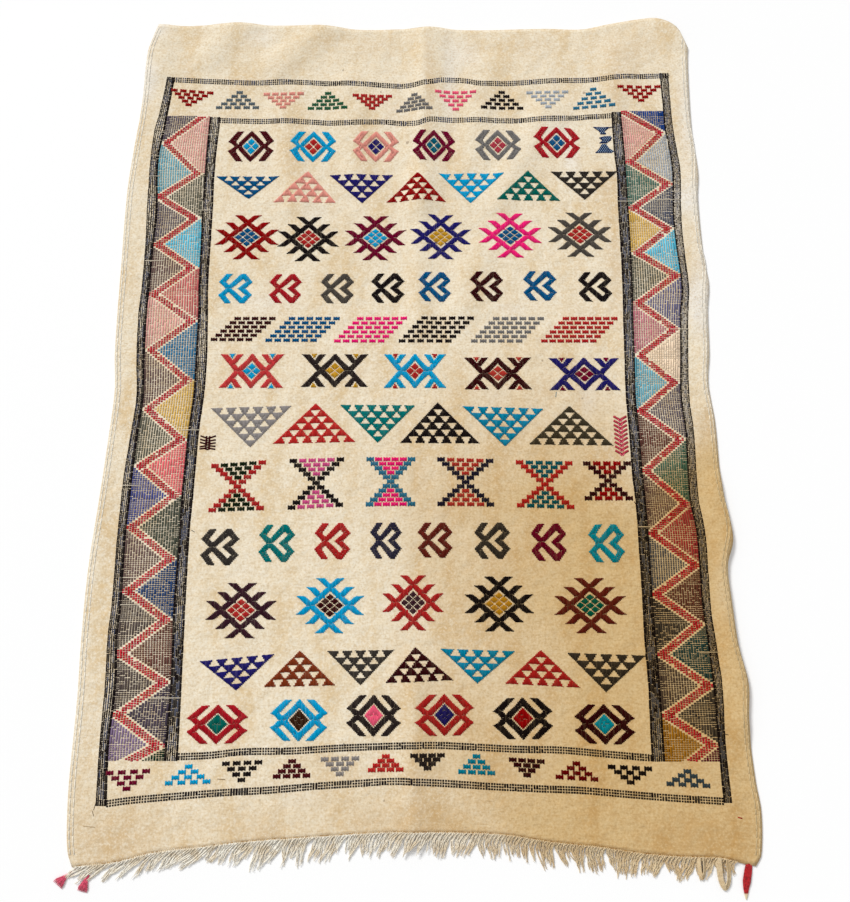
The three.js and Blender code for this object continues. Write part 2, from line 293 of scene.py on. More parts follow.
# The patches turn the ground tan or pale: yellowing, with painted shade and painted light of folds and
# selvedges.
tint_and_light_share = add("Attribute", {"attribute_name": "yellowing"}).outputs["Fac"]
ground = mix(add, graded(add, tint_and_light_share, 0.0, 1.1, 0.0, 0.62), ground, paint(212, 178, 128))
ground = mix(add, graded(add, tint_and_light_share, 0.0, -1.1, 0.0, 0.8), ground, paint(247, 243, 236))
ground = mix(add, graded(add, speckle(add, place, 70.0, detail=3.0, rough=0.65), 0.35, 0.7, 0.0, 0.5),
             ground, paint(245, 236, 215))
slubs = speckle(add, place, 60.0, (1, 7, 1), detail=4.0, rough=0.7)
ground = mix(add, graded(add, slubs, 0.5, 0.72, 0.0, 0.5), ground, paint(208, 180, 136))
ends = speckle(add, place, 110.0, (6, 1, 1), detail=3.0, rough=0.7)
ground = mix(add, graded(add, ends, 0.52, 0.75, 0.0, 0.4), ground, paint(210, 182, 140))
grain = speckle(add, place, 240.0, detail=2.0, rough=0.6)
ground = mix(add, graded(add, grain, 0.5, 0.7, 0.0, 0.5), ground, paint(212, 186, 146))
ground = mix(add, graded(add, grain, 0.5, 0.3, 0.0, 0.5), ground, paint(254, 246, 230))
at = add("SeparateXYZ", Vector=place)
soiled = graded(add, speckle(add, place, 26.0, (1, 4.5, 1), detail=5.0, rough=0.7), 0.62, 0.78)
near_hem = graded(add, at.outputs[1], -0.66, -0.76)
ground = mix(add, sums(add, "MULTIPLY", sums(add, "MULTIPLY", soiled, near_hem), 0.45), ground,
             paint(141, 112, 84))
specks = graded(add, speckle(add, place, 55.0, detail=1.0), 0.78, 0.84)
ground = mix(add, sums(add, "MULTIPLY", specks, 0.5), ground, paint(120, 88, 60))
node_tree = cream_wool.node_tree
# The ground darkens to warm brown towards the lower right and the hem: partly painted shade, partly age.
node_tree.links.new(brown_and_shade(add, place, ground), surface.inputs["Base Color"])
picks = add("TexWave", {"wave_type": "BANDS", "bands_direction": "Y", "wave_profile": "SIN"}, Vector=place,
            Scale=230.0, Distortion=1.4, Detail=2.0)
warps = add("TexWave", {"wave_type": "BANDS", "bands_direction": "X", "wave_profile": "SIN"}, Vector=place,
            Scale=260.0, Distortion=1.2, Detail=2.0)
relief = sums(add, "ADD", sums(add, "MULTIPLY", picks.outputs["Fac"], warps.outputs["Fac"]), slubs)
fine = add("Bump", Strength=0.6, Distance=0.0006, Height=relief)
cockle = speckle(add, place, 38.0, detail=3.0)
broad = add("Bump", Strength=0.8, Distance=0.0036, Height=cockle, Normal=fine.outputs[0])
node_tree.links.new(broad.outputs[0], surface.inputs["Normal"])

rug_cloth = new_piece("rug_cloth", cloth_mesh, cream_wool)
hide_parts("kilim_cloth")


# Motif yarns
# Every pattern on the rug is brocade: dyed wool laid over the ground in short floats that run along the
# warp, side by side, so that sloping edges step from float to float and level edges show a comb.
FLOAT_PITCH = 2.5
FLOAT_WIDTH = 2.8
FLOAT_HEIGHT = 1.7
LONGEST_FLOAT = 14.0
FLOAT_GAP = 0.1
DYES = {
    "red": (184, 40, 40), "bright_red": (197, 44, 42), "crimson": (180, 27, 40), "deep_red": (158, 7, 11),
    "orange_red": (191, 58, 50), "rose_red": (182, 60, 77), "dusty_pink": (236, 160, 145),
    "hot_pink": (246, 34, 127), "magenta": (215, 85, 143), "pink": (246, 100, 133), "plum": (119, 6, 48),
    "maroon": (58, 11, 17), "wine": (83, 16, 26), "plum_brown": (63, 32, 44), "rust": (135, 58, 28),
    "brown": (59, 32, 15), "red_brown": (112, 40, 32), "ox_red": (114, 4, 8), "ribbon_red": (214, 40, 66),
    "black": (28, 21, 23), "charcoal": (62, 57, 53), "band_grey": (88, 91, 106), "grey": (127, 124, 122),
    "light_grey": (153, 147, 145), "blue_grey": (100, 113, 120), "pale_grey": (179, 186, 193),
    "navy": (34, 31, 54), "indigo": (36, 31, 110), "blue": (3, 89, 139), "cyan": (4, 166, 215),
    "deep_cyan": (4, 145, 189), "dull_blue": (52, 123, 155), "teal": (12, 100, 122),
    "sea_green": (2, 123, 122), "green": (1, 104, 93), "sage": (43, 100, 70), "dark_green": (21, 36, 17),
    "olive": (72, 66, 52), "ochre": (205, 155, 36), "slate": (63, 85, 110), "cream": (232, 220, 197),
    "soft_red": (208, 64, 66), "faded_black": (46, 37, 36), "iron_grey": (84, 78, 72),
    "dark_charcoal": (50, 45, 41), "faded_navy": (48, 45, 66), "mark_blue": (30, 48, 92),
    "mark_pale": (172, 200, 222), "mark_thread": (70, 74, 96),
    "bright_cream": (246, 238, 222), "tan": (214, 188, 142), "dark_tan": (182, 150, 104),
}
dice = random.Random(21)


def spans(outline, x):
    """The pieces of a column at x that lie inside a closed outline, from low to high."""
    cuts = []
    for (x1, y1), (x2, y2) in zip(outline, outline[1:] + outline[:1]):
        if (x1 <= x) != (x2 <= x):
            cuts.append(y1 + (y2 - y1) * (x - x1) / (x2 - x1))
    cuts.sort()
    return list(zip(cuts[::2], cuts[1::2]))


def joined(pieces):
    """Pieces of one column with those that touch run together."""
    runs = []
    for low, high in sorted(pieces):
        if runs and low < runs[-1][1] + 0.2:
            runs[-1][1] = max(high, runs[-1][1])
        else:
            runs.append([low, high])
    return runs


def without(pieces, holes):
    """Pieces of one column less the parts that holes take out."""
    for gap_low, gap_high in holes:
        kept = []
        for low, high in pieces:
            if low < min(gap_low, high):
                kept.append((low, min(gap_low, high)))
            if max(gap_high, low) < high:
                kept.append((max(gap_high, low), high))
        pieces = kept
    return pieces


def outline_of(rows):
    """A closed outline from charted rows of height, left and right."""
    return [(left, y) for y, left, right in rows] + [(right, y) for y, left, right in reversed(rows)]


def float_row(x, y, length, width, dye, turn=0.0):
    """One float: its middle, length, width, turn from the warp, and dye or colour, which varies a little."""
    shade = dice.uniform(0.88, 1.08)
    worn = dice.random() ** 6 * 0.06
    red, green, blue = (shade * c for c in linear(*DYES.get(dye, dye)))
    pale = linear(225, 208, 176)
    colour = [c * (1 - worn) + p * worn for c, p in zip((red, green, blue), pale)]
    return (x + dice.uniform(-0.12, 0.12), y, length, width, turn, *colour)


def fill_column(floats, x, low, high, width, dye):
    """Floats end to end over one run of a column. Long runs are tied down every centimetre or so."""
    low += dice.uniform(-0.5, 0.2)
    high += dice.uniform(-0.2, 0.5)
    if high - low < 0.8:
        return
    count = max(1, round((high - low) / LONGEST_FLOAT + dice.uniform(-0.2, 0.5)))
    stops = [low + (high - low) * k / count for k in range(count + 1)]
    for k in range(1, count):
        stops[k] += dice.uniform(-1.6, 1.6)
    for start, end in zip(stops, stops[1:]):
        gap = FLOAT_GAP if count > 1 else 0
        floats.append(float_row(x, (start + end) / 2, end - start - gap, width, dye))


def brocade(floats, shapes, dyes, thin=()):
    """Floats that fill outlines. Each shape is its dye number, or None for a hole, and its outline."""
    holes = [outline for number, outline in shapes if number is None]
    for number, dye in enumerate(dyes):
        outlines = [outline for found, outline in shapes if found == number]
        if not outlines:
            continue
        first = math.floor(min(x for o in outlines for x, y in o) / FLOAT_PITCH)
        last = math.ceil(max(x for o in outlines for x, y in o) / FLOAT_PITCH)
        for k in range(first, last + 1):
            x = (k + 0.5) * FLOAT_PITCH
            pieces = joined([s for o in outlines for s in spans(o, x)])
            pieces = without(pieces, [s for o in holes for s in spans(o, x)])
            for low, high in pieces:
                middle = (low + high) / 2
                sparse = any(a <= middle <= b for o in thin for a, b in spans(o, x))
                fill_column(floats, x, low, high, 2.5 if sparse else FLOAT_WIDTH, dye)


def set_down(rows, middle, size, tilt=0.0, flip=(1, 1)):
    """Charted rows placed on the cloth, about a middle, to a scale and with a rise to the right."""
    return [(middle[0] + x * flip[0] * size[0], middle[1] + y * flip[1] * size[1] + x * flip[0] * tilt)
            for x, y in outline_of(rows)]


FOUR_WAYS = [(1, 1), (-1, 1), (1, -1), (-1, -1)]
CHECK_FLOATS = 5


def block(floats, x, y, wide, tall, dye, tilt=0.0):
    """A small check of five floats, long and short by turns, so that its level edges are notched."""
    for k in range(CHECK_FLOATS):
        aside = (k - (CHECK_FLOATS - 1) / 2) * wide / CHECK_FLOATS
        length = tall * (dice.uniform(0.68, 0.86) if k % 2 else dice.uniform(0.94, 1.06))
        floats.append(float_row(x + aside, y + aside * tilt, length, wide / CHECK_FLOATS * 1.06, dye))


yarn = bmesh.new()
bmesh.ops.create_cone(yarn, cap_ends=True, segments=4, radius1=0.5, radius2=0.5, depth=0.92)
bmesh.ops.poke(yarn, faces=[f for f in yarn.faces if abs(f.normal.z) > 0.9], offset=0.04)
bmesh.ops.rotate(yarn, verts=yarn.verts[:], cent=(0, 0, 0), matrix=Matrix.Rotation(math.radians(90), 3, "X"))
for face in yarn.faces:
    face.smooth = True
yarn_mesh = bpy.data.meshes.new("yarn")
yarn.to_mesh(yarn_mesh)
yarn.free()
yarn_pattern = bpy.data.objects.new("yarn", yarn_mesh)
bpy.context.scene.collection.objects.link(yarn_pattern)

laying = bpy.data.node_groups.new("lay_yarns", "GeometryNodeTree")
laying.interface.new_socket("Geometry", in_out="INPUT", socket_type="NodeSocketGeometry")
laying.interface.new_socket("Geometry", in_out="OUTPUT", socket_type="NodeSocketGeometry")
points_in = laying.nodes.new("NodeGroupInput")
mesh_out = laying.nodes.new("NodeGroupOutput")
pattern_in = laying.nodes.new("GeometryNodeObjectInfo")
pattern_in.inputs["Object"].default_value = yarn_pattern
lay = laying.nodes.new("GeometryNodeInstanceOnPoints")
for attribute, socket in (("lean", "Rotation"), ("size", "Scale")):
    named = laying.nodes.new("GeometryNodeInputNamedAttribute")
    named.data_type = "FLOAT_VECTOR"
    named.inputs["Name"].default_value = attribute
    laying.links.new(named.outputs["Attribute"], lay.inputs[socket])
whole = laying.nodes.new("GeometryNodeRealizeInstances")
laying.links.new(points_in.outputs[0], lay.inputs["Points"])
laying.links.new(pattern_in.outputs["Geometry"], lay.inputs["Instance"])
laying.links.new(lay.outputs[0], whole.inputs[0])
laying.links.new(whole.outputs[0], mesh_out.inputs[0])

dyed_wool, surface, add = shader("dyed_wool", 0.92, 0.0)
surface.inputs["Specular IOR Level"].default_value = 0.02
place = add("TexCoord").outputs["Object"]
dye = add("Attribute", {"attribute_name": "dye"}).outputs["Color"]
fuzz = speckle(add, place, 420.0, (1, 0.35, 1), detail=3.0, rough=0.7)
worn = graded(add, speckle(add, place, 45.0, detail=3.0, rough=0.6), 0.52, 0.76, 0.0, 0.03)
shaded = mix(add, 1.0, dye, (0.5, 0.5, 0.5, 1), "MULTIPLY")
colour = mix(add, graded(add, fuzz, 0.3, 0.75, 0.0, 0.25), dye, shaded)
colour = mix(add, worn, colour, paint(214, 196, 170))
# The dyes darken to warm brown towards the lower right: partly painted shade, partly age.
dyed_wool.node_tree.links.new(brown_and_shade(add, place, colour), surface.inputs["Base Color"])
ply = add("TexWave", {"wave_type": "BANDS", "bands_direction": "DIAGONAL"}, Vector=place, Scale=310.0,
          Distortion=2.0)
strand = add("Bump", Strength=0.5, Distance=0.0004, Height=sums(add, "ADD", ply.outputs["Fac"], fuzz))
dyed_wool.node_tree.links.new(strand.outputs[0], surface.inputs["Normal"])


def finished_mesh(draft, name):
    """The mesh that a draft makes with its modifiers or as a tube. The draft then goes."""
    bpy.context.scene.collection.objects.link(draft)
    bpy.context.view_layer.update()
    made = bpy.data.meshes.new_from_object(draft.evaluated_get(bpy.context.evaluated_depsgraph_get()))
    made.name = name
    bpy.data.objects.remove(draft)
    for face in made.polygons:
        face.use_smooth = True
    return made


def lay_floats(name, floats, height=FLOAT_HEIGHT):
    """One piece from a list of floats. Each lies on the cloth, follows its slope and half sinks into it."""
    rows = np.array(floats)
    x, y, length, width, turn = rows[:, :5].T
    step = 2.0
    rise_x = (lift(x + step, y) - lift(x - step, y)) / (2 * step)
    rise_y = (lift(x, y + step) - lift(x, y - step)) / (2 * step)
    climb = np.arctan(rise_y * np.cos(turn) - rise_x * np.sin(turn))
    roll = -np.arctan(rise_x * np.cos(turn) + rise_y * np.sin(turn))
    z = lift(x, y) + CLOTH_THICKNESS + height * 0.18
    points = bpy.data.meshes.new(name)
    points.from_pydata(np.column_stack([x, y, z]) * MM, [], [])
    sizes = np.column_stack([width, length, np.full(len(x), height)]) * MM
    leans = np.column_stack([climb, roll, turn])
    dyes = np.column_stack([rows[:, 5:8], np.ones(len(x))])
    points.attributes.new("size", "FLOAT_VECTOR", "POINT").data.foreach_set("vector", sizes.ravel())
    points.attributes.new("lean", "FLOAT_VECTOR", "POINT").data.foreach_set("vector", leans.ravel())
    points.attributes.new("dye", "FLOAT_COLOR", "POINT").data.foreach_set("color", dyes.ravel())
    draft = bpy.data.objects.new(name + "_points", points)
    draft.modifiers.new("lay", "NODES").node_group = laying
    laid = finished_mesh(draft, name)
    for spare in ("size", "lean"):
        if spare in laid.attributes:
            laid.attributes.remove(laid.attributes[spare])
    spots = np.empty(len(laid.vertices) * 3)
    laid.vertices.foreach_get("co", spots)
    spots = spots.reshape(-1, 3)[:, :2]
    corners = np.empty(len(laid.loops), int)
    laid.loops.foreach_get("vertex_index", corners)
    low, high = spots.min(axis=0), spots.max(axis=0)
    baked = laid.uv_layers.new(name="OFBake")
    baked.uv.foreach_set("vector", ((spots - low) / (high - low) * 0.98 + 0.01)[corners].ravel())
    piece = new_piece(name, laid, dyed_wool)


# Checked triangles and parallelograms
# The two end rows and one row in the middle of the field are built of small checks, each five floats wide,
# with ground showing between them. They are darned in as the cloth is woven, so the rows bow with the weft.
CHECK_TALL = 8.0
CHECK_WIDE = 13.6


def check_triangle(floats, left, right, top, bottom, rows, points_up, dye, tilt=0.0, lean=0.0):
    """Rows of checks, one fewer in each, over a box whose left and right are those of the widest row.

    tilt is the rows' rise to the right and lean how far the point stands from the middle.
    """
    pitch = (right - left - CHECK_WIDE) / (rows - 1)
    drop = (top - bottom - CHECK_TALL) / (rows - 1)
    for row in range(rows):
        count = row + 1 if points_up else rows - row
        y = top - CHECK_TALL / 2 - row * drop
        middle = (left + right) / 2 + lean * (rows - count) / (rows - 1)
        for k in range(count):
            aside = (k - (count - 1) / 2) * pitch
            block(floats, middle + aside, y + aside * tilt, CHECK_WIDE, CHECK_TALL, dye, tilt)


first_row = []
for left, right, bottom, top, points_up, dye, tilt, lean in [
    (-527, -435, 664, 705, False, "deep_red", -0.09, -6),
    (-427, -334, 657, 702, True, "blue_grey", 0.0, 3),
    (-325, -238, 656, 699, False, "dusty_pink", 0.02, 0), (-228, -142, 655, 700, True, "sage", 0.0, 0),
    (-131, -46, 655, 693, False, "red", 0.0, 0), (-36, 42, 650, 694, True, "grey", 0.05, 0),
    (48, 137, 653, 702, False, "pink", 0.0, 0), (147, 239, 655, 702, True, "black", 0.0, 0),
    (247, 338, 655, 703, False, "pale_grey", 0.03, 0), (347, 438, 659, 710, True, "dull_blue", 0.09, 0),
    (445, 540, 675, 716, False, "deep_red", 0.03, 3),
]:
    check_triangle(first_row, left, right, top, bottom, 5, points_up, dye, tilt, lean)
lay_floats("top_check_triangles", first_row)

last_row = []
for left, right, bottom, top, points_up, dye, tilt in [
    (-539, -461, -716.5, -681, False, "plum", 0.05), (-433, -353, -706, -672, True, "cyan", 0.04),
    (-334, -263, -702, -666, False, "black", 0.04), (-243, -177, -695.5, -663, True, "wine", 0.03),
    (-159, -91, -692, -659, False, "light_grey", 0.03), (-75, -12, -685, -655, True, "bright_red", 0.03),
    (0, 61, -682, -653, False, "faded_black", 0.0), (85, 150, -689.5, -655, True, "deep_cyan", -0.04),
    (175, 238, -694, -662, False, "maroon", -0.06), (257, 332, -699, -667, True, "ox_red", -0.06),
    (350, 428, -706, -674, False, "black", -0.05), (452, 529, -710, -680, True, "slate", -0.05),
]:
    check_triangle(last_row, left, right, top, bottom, 4, points_up, dye, tilt)
lay_floats("bottom_check_triangles", last_row)

LEANING_TOP = 172.5
LEANING_ROWS = 6
LEANING_DROP = 9.6
LEANING_SHIFT = 9.0
LEANING_CHECK = (13.0, 7.6)
leaning_row = []
for left, right, count, dye in [
    (-359, -277, 5, "maroon"), (-249, -147, 6, "blue"), (-111, -11, 6, "hot_pink"),
    (19, 124, 6, "black"), (164, 266, 6, "grey"), (305, 415, 7, "red"),
]:
    for row in range(LEANING_ROWS):
        start = left - LEANING_SHIFT * row + 6
        for k in range(count):
            x = start + k * (right - left - 12) / (count - 1)
            rise = {"maroon": 3.0, "blue": 1.5}.get(dye, 0) * row / (LEANING_ROWS - 1)
            block(leaning_row, x, LEANING_TOP - row * LEANING_DROP + rise, *LEANING_CHECK, dye)
lay_floats("leaning_checks", leaning_row)


# Lattice triangles
# Three rows of big triangles in one colour, cut by small ground triangles that stand on each level line. The
# floats are cut level along those lines, which leaves their comb of ends showing.


def lattice_triangle(floats, left, right, peak, rows, dye):
    """A solid triangle over its base corners and peak, less its small ground triangles."""

    def spot(share, height):
        base = [left[i] + (right[i] - left[i]) * share for i in (0, 1)]
        return tuple(base[i] + (peak[i] - (left[i] + right[i]) / 2) * height for i in (0, 1))

    def inside(aside, height):
        """A point by its distance aside, in bases, and its height, in shares of the peak's."""
        return spot(0.5 + aside, height)

    shapes = [(0, [inside(-0.5, 0), inside(0.5, 0), inside(0, 1)])]
    for row in range(rows - 1):
        count = rows - 1 - row
        for k in range(count):
            aside = (k - (count - 1) / 2) / rows
            foot = (row + 0.96) / rows
            tip = (row + (0.12 if row else -0.05)) / rows
            half = 0.37 / rows
            slim = 0.05 / rows if row else 0.1 / rows
            shapes.append((None, [inside(aside - half, foot), inside(aside + half, foot),
                                  inside(aside + slim, tip), inside(aside - slim, tip)]))
    brocade(floats, shapes, [dye])


for name, rows, triangles in [
    ("upper_lattice_triangles", 5, [
        ((-416, 494), (-283, 493), (-345, 441), "blue"),
        ((-292, 433), (-161, 432), (-222, 506), "dusty_pink"),
        ((-176, 497), (-41, 497), (-106, 431), "indigo"), ((-55, 433), (70, 434), (10, 499), "deep_red"),
        ((56, 499), (193, 500), (122, 431), "cyan"), ((177, 437), (310, 437), (244, 506), "green"),
        ((293, 505), (434, 506), (362, 439), "dark_charcoal"),
    ]),
    ("middle_lattice_triangles", 6, [
        ((-395, -16), (-237, -11), (-314, -95), "light_grey"),
        ((-270, -88), (-110, -84), (-189, -6), "bright_red"),
        ((-141, -9), (7, -10), (-66, -86), "sea_green"), ((-22, -86), (132, -87), (51, -4), "black"),
        ((100, -12), (259, -17), (182, -93), "deep_cyan"), ((228, -89), (392, -91), (310, -11), "olive"),
    ]),
    ("lower_lattice_triangles", 5, [
        ((-386, -496), (-249, -483), (-316, -547), "indigo"),
        ((-267, -541), (-137, -538), (-203, -477), "rust"),
        ((-153, -478), (-31, -476), (-91, -538), "charcoal"),
        ((-46, -534), (77, -529), (8, -471), "maroon"),
        ((55, -474), (191, -478), (121, -535), "deep_cyan"),
        ((171, -535), (307, -542), (238, -476), "red"),
        ((286, -481), (429, -486), (354, -550), "charcoal"),
    ]),
]:
    row_floats = []
    for left, right, peak, dye in triangles:
        lattice_triangle(row_floats, left, right, peak, rows, dye)
    lay_floats(name, row_floats)


# Crab diamonds
# Two rows near the ends: a diamond ring with four hooked claws round a lozenge of a second colour. In the
# upper row the lozenge is quartered by ground. The ring's floats are a little narrower than the claws'.


def place_lozenges(chart, middle, size, tilt):
    """Outlines of small lozenges charted as x, y, half width and half height."""
    found = []
    for x, y, wide, tall in chart:
        corners = [(x, y + tall), (x - wide, y), (x, y - tall), (x + wide, y)]
        found.append([(middle[0] + a * size[0], middle[1] + b * size[1] + a * tilt) for a, b in corners])
    return found


def motif(floats, middle, size, dyes, parts, thin_parts, lozenges, tilt=0.0, flips=FOUR_WAYS, seconds=()):
    """A motif charted in one quarter and mirrored, with the lozenges in its middle in the second colour."""
    shapes = []
    thin = []
    for flip in flips:
        for rows in parts:
            shapes.append((0, set_down(rows, middle, size, tilt, flip)))
        for rows in thin_parts:
            outline = set_down(rows, middle, size, tilt, flip)
            shapes.append((0, outline))
            thin.append(outline)
        for rows in seconds:
            shapes.append((1, set_down(rows, middle, size, tilt, flip)))
    shapes += [(1, outline) for outline in place_lozenges(lozenges, middle, size, tilt)]
    brocade(floats, shapes, dyes, thin)


NARROW_CLAW = [(36, 17, 31), (11, 33, 49), (7, 30, 43), (0, 26, 35)]
NARROW_RING = [(37, 0, 1), (24, 0, 13), (9, 13, 26), (0, 20, 30)]
QUARTERED = [(0, 10.6, 8.2, 9.0), (0, -10.6, 8.2, 9.0), (-9.4, 0, 8.0, 9.0), (9.4, 0, 8.0, 9.0)]
crabs = []
for x, y, wide, dyes in [
    (-346, 566, 1.0, ("wine", "cyan")), (-213, 565, 1.0, ("cyan", "red")),
    (-79, 565, 1.0, ("dusty_pink", "indigo")), (45, 565, 0.94, ("plum", "teal")),
    (182, 568, 1.0, ("grey", "rose_red")), (308, 574, 1.02, ("crimson", "blue")),
]:
    motif(crabs, (x, y), (wide, 1.0), dyes, [NARROW_CLAW], [NARROW_RING], QUARTERED)
lay_floats("upper_crab_diamonds", crabs)

WIDE_CLAW = [(35, 13, 26), (12, 34, 50), (8, 29, 43), (0, 27, 36)]
WIDE_RING = [(36, 0, 1), (21, 0, 14), (8, 13, 28), (0, 20, 34)]
crabs = []
for x, y, wide, tall, dyes, tilt in [
    (-347, -605, 1.10, 0.93, ("crimson", "green"), 0.02),
    (-200.5, -598, 1.03, 1.0, ("cyan", "brown"), 0.0),
    (-66.5, -590, 0.98, 1.0, ("faded_black", "pink"), 0.0), (61, -589, 1.06, 1.0, ("red", "indigo"), 0.0),
    (202, -595, 1.07, 1.0, ("black", "deep_red"), 0.0),
    (348, -605, 1.09, 0.95, ("maroon", "cyan"), -0.03),
]:
    motif(crabs, (x, y), (wide, tall), dyes, [WIDE_CLAW], [WIDE_RING], [(0, 0, 17, 19)], tilt)
lay_floats("lower_crab_diamonds", crabs)


# Stars
# Two rows of eight-armed stars: four strips cross round a lozenge checked in nine, and a shorter arm stands
# out from the middle of each side. All the arms end level.
STAR_STRIP = [(50, 11, 27), (44, 5, 19.5), (-13, -58, -42), (-17, -63.5, -48)]
STAR_ARM = [(33.5, 29, 45), (28, 23, 38), (13, 8, 24)]
NINE_CHECKS = [((i - j) * 8.7, (i + j) * 7.4, 7.4, 6.2) for i in (-1, 0, 1) for j in (-1, 0, 1)]
for name, row in [
    ("upper_stars", [
        (-343.5, 353, 1.04, ("deep_red", "blue")), (-216, 349, 1.0, ("black", "red")),
        (-77, 351, 1.0, ("plum", "cyan")), (58.5, 353, 1.0, ("indigo", "ochre")),
        (203, 357, 1.04, ("hot_pink", "blue")), (348, 359, 1.05, ("iron_grey", "red")),
    ]),
    ("lower_stars", [
        (-315, -405, 1.04, ("plum_brown", "red")), (-150.5, -396, 1.0, ("cyan", "maroon")),
        (3.7, -391, 0.91, ("red", "plum_brown")), (163.5, -393, 1.02, ("black", "ochre")),
        (332.5, -396, 1.06, ("red_brown", "green")),
    ]),
]:
    stars = []
    for x, y, wide, dyes in row:
        motif(stars, (x, y), (wide, 1.0), dyes, [STAR_ARM], [STAR_STRIP], NINE_CHECKS)
    lay_floats(name, stars)


# Hooks
# Two rows of eight hooks, each a strip that folds back on itself and ends in two small claws at its left.
# One dye to a hook.
HOOK_CLAW = [(34, -20, -7), (15, -34, -20), (8, -27, -13), (0, -20, -9)]
HOOK_STEM = [(34.5, 10, 19), (22, -1, 15), (10, -12, 3), (0, -21, -8)]
HOOK_LOOP = [(34.5, 10, 19), (22, 14, 28), (15, 20, 34), (0, 4, 20)]
for name, row in [
    ("upper_hooks", [
        (-361, 238, 1.02, 0.95, "cyan"), (-259, 238, 0.97, 0.93, "crimson"),
        (-153, 238, 1.0, 0.95, "iron_grey"), (-50, 239, 1.0, 0.95, "black"),
        (46, 241, 0.97, 0.95, "blue"), (152, 242, 1.0, 0.95, "maroon"), (261, 244, 1.0, 0.95, "blue"),
        (373.5, 242, 1.02, 0.95, "black"),
    ]),
    ("lower_hooks", [
        (-361, -288, 1.06, 1.0, "charcoal"), (-254, -281, 1.0, 1.03, "sea_green"),
        (-149, -277, 1.0, 1.0, "red"), (-48, -276, 0.88, 1.0, "faded_navy"),
        (45, -275, 0.97, 0.97, "red_brown"), (153, -276, 1.0, 1.0, "charcoal"),
        (260, -279, 1.0, 1.03, "plum"), (369, -281, 1.0, 1.05, "cyan"),
    ]),
]:
    hooks = []
    for x, y, wide, tall, dye in row:
        motif(hooks, (x, y), (wide, tall), [dye], [HOOK_CLAW], [HOOK_STEM, HOOK_LOOP], [],
              flips=[(1, 1), (1, -1)])
    lay_floats(name, hooks)


# Crossed diamonds
# One row in the middle of the field: a diamond between two crosses, whose arms fork towards the ends, with a
# small triangle of the second colour in each fork and a quartered lozenge inside.
CROSS_ARM = [(35, 51, 66), (0, 22.5, 36)]
CROSS_FORK = [(35, 19, 32), (16, 33, 45)]
CROSS_RING = [(36, 0, 2), (22, 0, 13), (9, 11, 27), (0, 19, 33)]
FORK_SPOT = [(36, 36, 47.5), (26.5, 41.5, 42.5)]
SMALL_QUARTERS = [(0, 9, 8.4, 7.8), (0, -9, 8.4, 7.8), (-9.8, 0, 8.4, 7.6), (9.8, 0, 8.4, 7.6)]
crosses = []
for x, y, wide, tall, dyes in [
    (-319, 61, 0.96, 1.0, ("soft_red", "cyan")), (-153.5, 62, 1.0, 0.97, ("faded_black", "ochre")),
    (6, 61, 0.94, 1.0, ("cyan", "red")), (171, 56, 1.01, 0.94, ("maroon", "orange_red")),
    (343, 54.5, 1.06, 0.95, ("indigo", "plum")),
]:
    motif(crosses, (x, y), (wide, tall), dyes, [CROSS_ARM, CROSS_FORK], [CROSS_RING], SMALL_QUARTERS,
          seconds=[FORK_SPOT])
lay_floats("crossed_diamonds", crosses)


# Check hourglasses
# One row of hourglasses in small checks: an edge of one dye, a filling of another in both halves.
EDGE_CHECK = (14.4, 9.2)
FILLING_CHECK = (13.8, 8.2)
FEWEST_ROWS = 9
hourglasses = []
for x_left, x_right, top_left, top_right, low_left, low_right, rows, dyes in [
    (-380, -289, -132, -125, -218, -214, 11, ("red", "dark_green")),
    (-229, -138, -122, -119, -213, -207.5, 11, ("black", "magenta")),
    (-80, 0, -118.6, -118.6, -206.7, -206, 11, ("dull_blue", "hot_pink")),
    (57, 151, -119, -122, -206, -207, 11, ("navy", "orange_red")),
    (209, 304, -124.7, -126.7, -208.6, -212, 11, ("bright_red", "teal")),
    (339, 417, -127, -127, -195, -195, 9, ("maroon", "deep_red")),
]:
    waist = (rows - 1) // 2
    pitch = (x_right - x_left) / waist
    for row in range(rows):
        down = row / (rows - 1)
        y_left = top_left + (low_left - top_left) * down
        y_right = top_right + (low_right - top_right) * down
        count = abs(row - waist) + 1
        for k in range(count):
            aside = (k - (count - 1) / 2) * pitch
            y = (y_left + y_right) / 2 + (y_right - y_left) * aside / (x_right - x_left)
            edge = k in (0, count - 1)
            wide, tall = EDGE_CHECK if edge or rows == FEWEST_ROWS else FILLING_CHECK
            block(hourglasses, (x_left + x_right) / 2 + aside, y, wide, tall, dyes[0 if edge else 1])
lay_floats("check_hourglasses", hourglasses)


# Small odd marks
# Three signs that a weaver adds where room is left: a blue double hourglass, a dark spider and a pink
# herringbone. The floats of the last two lie aslant.
marks = []
BLUE_MARK = [
    [(613, 387, 424), (602, 401, 412), (595, 402, 416)],
    [(591, 411, 424), (587, 400, 427), (580, 406, 424), (573, 399, 414)],
    [(572, 405, 413), (560, 398, 421), (555, 394, 429), (550, 389, 424)],
]
brocade(marks, [(0, outline_of(rows)) for rows in BLUE_MARK], ["mark_blue"])
checks = []
for row in range(17):
    for k in range(10):
        x = 387 + k * 4.6 + row % 2 * 2.3
        y = 552 + row * 3.6
        if any(low + 1.2 < y < high - 1.2 for rows in BLUE_MARK for low, high in spans(outline_of(rows), x)):
            checks.append(float_row(x, y, 2.2, 2.1, "mark_pale"))
lay_floats("blue_mark_checks", checks, height=2.4)
marks.append(float_row(425, 612, 1.8, 13, "mark_thread", math.radians(14)))
marks.append(float_row(428, 554, 1.8, 12, "mark_thread", math.radians(-12)))
SPINE_X, SPINE_TOP = 408.5, -33
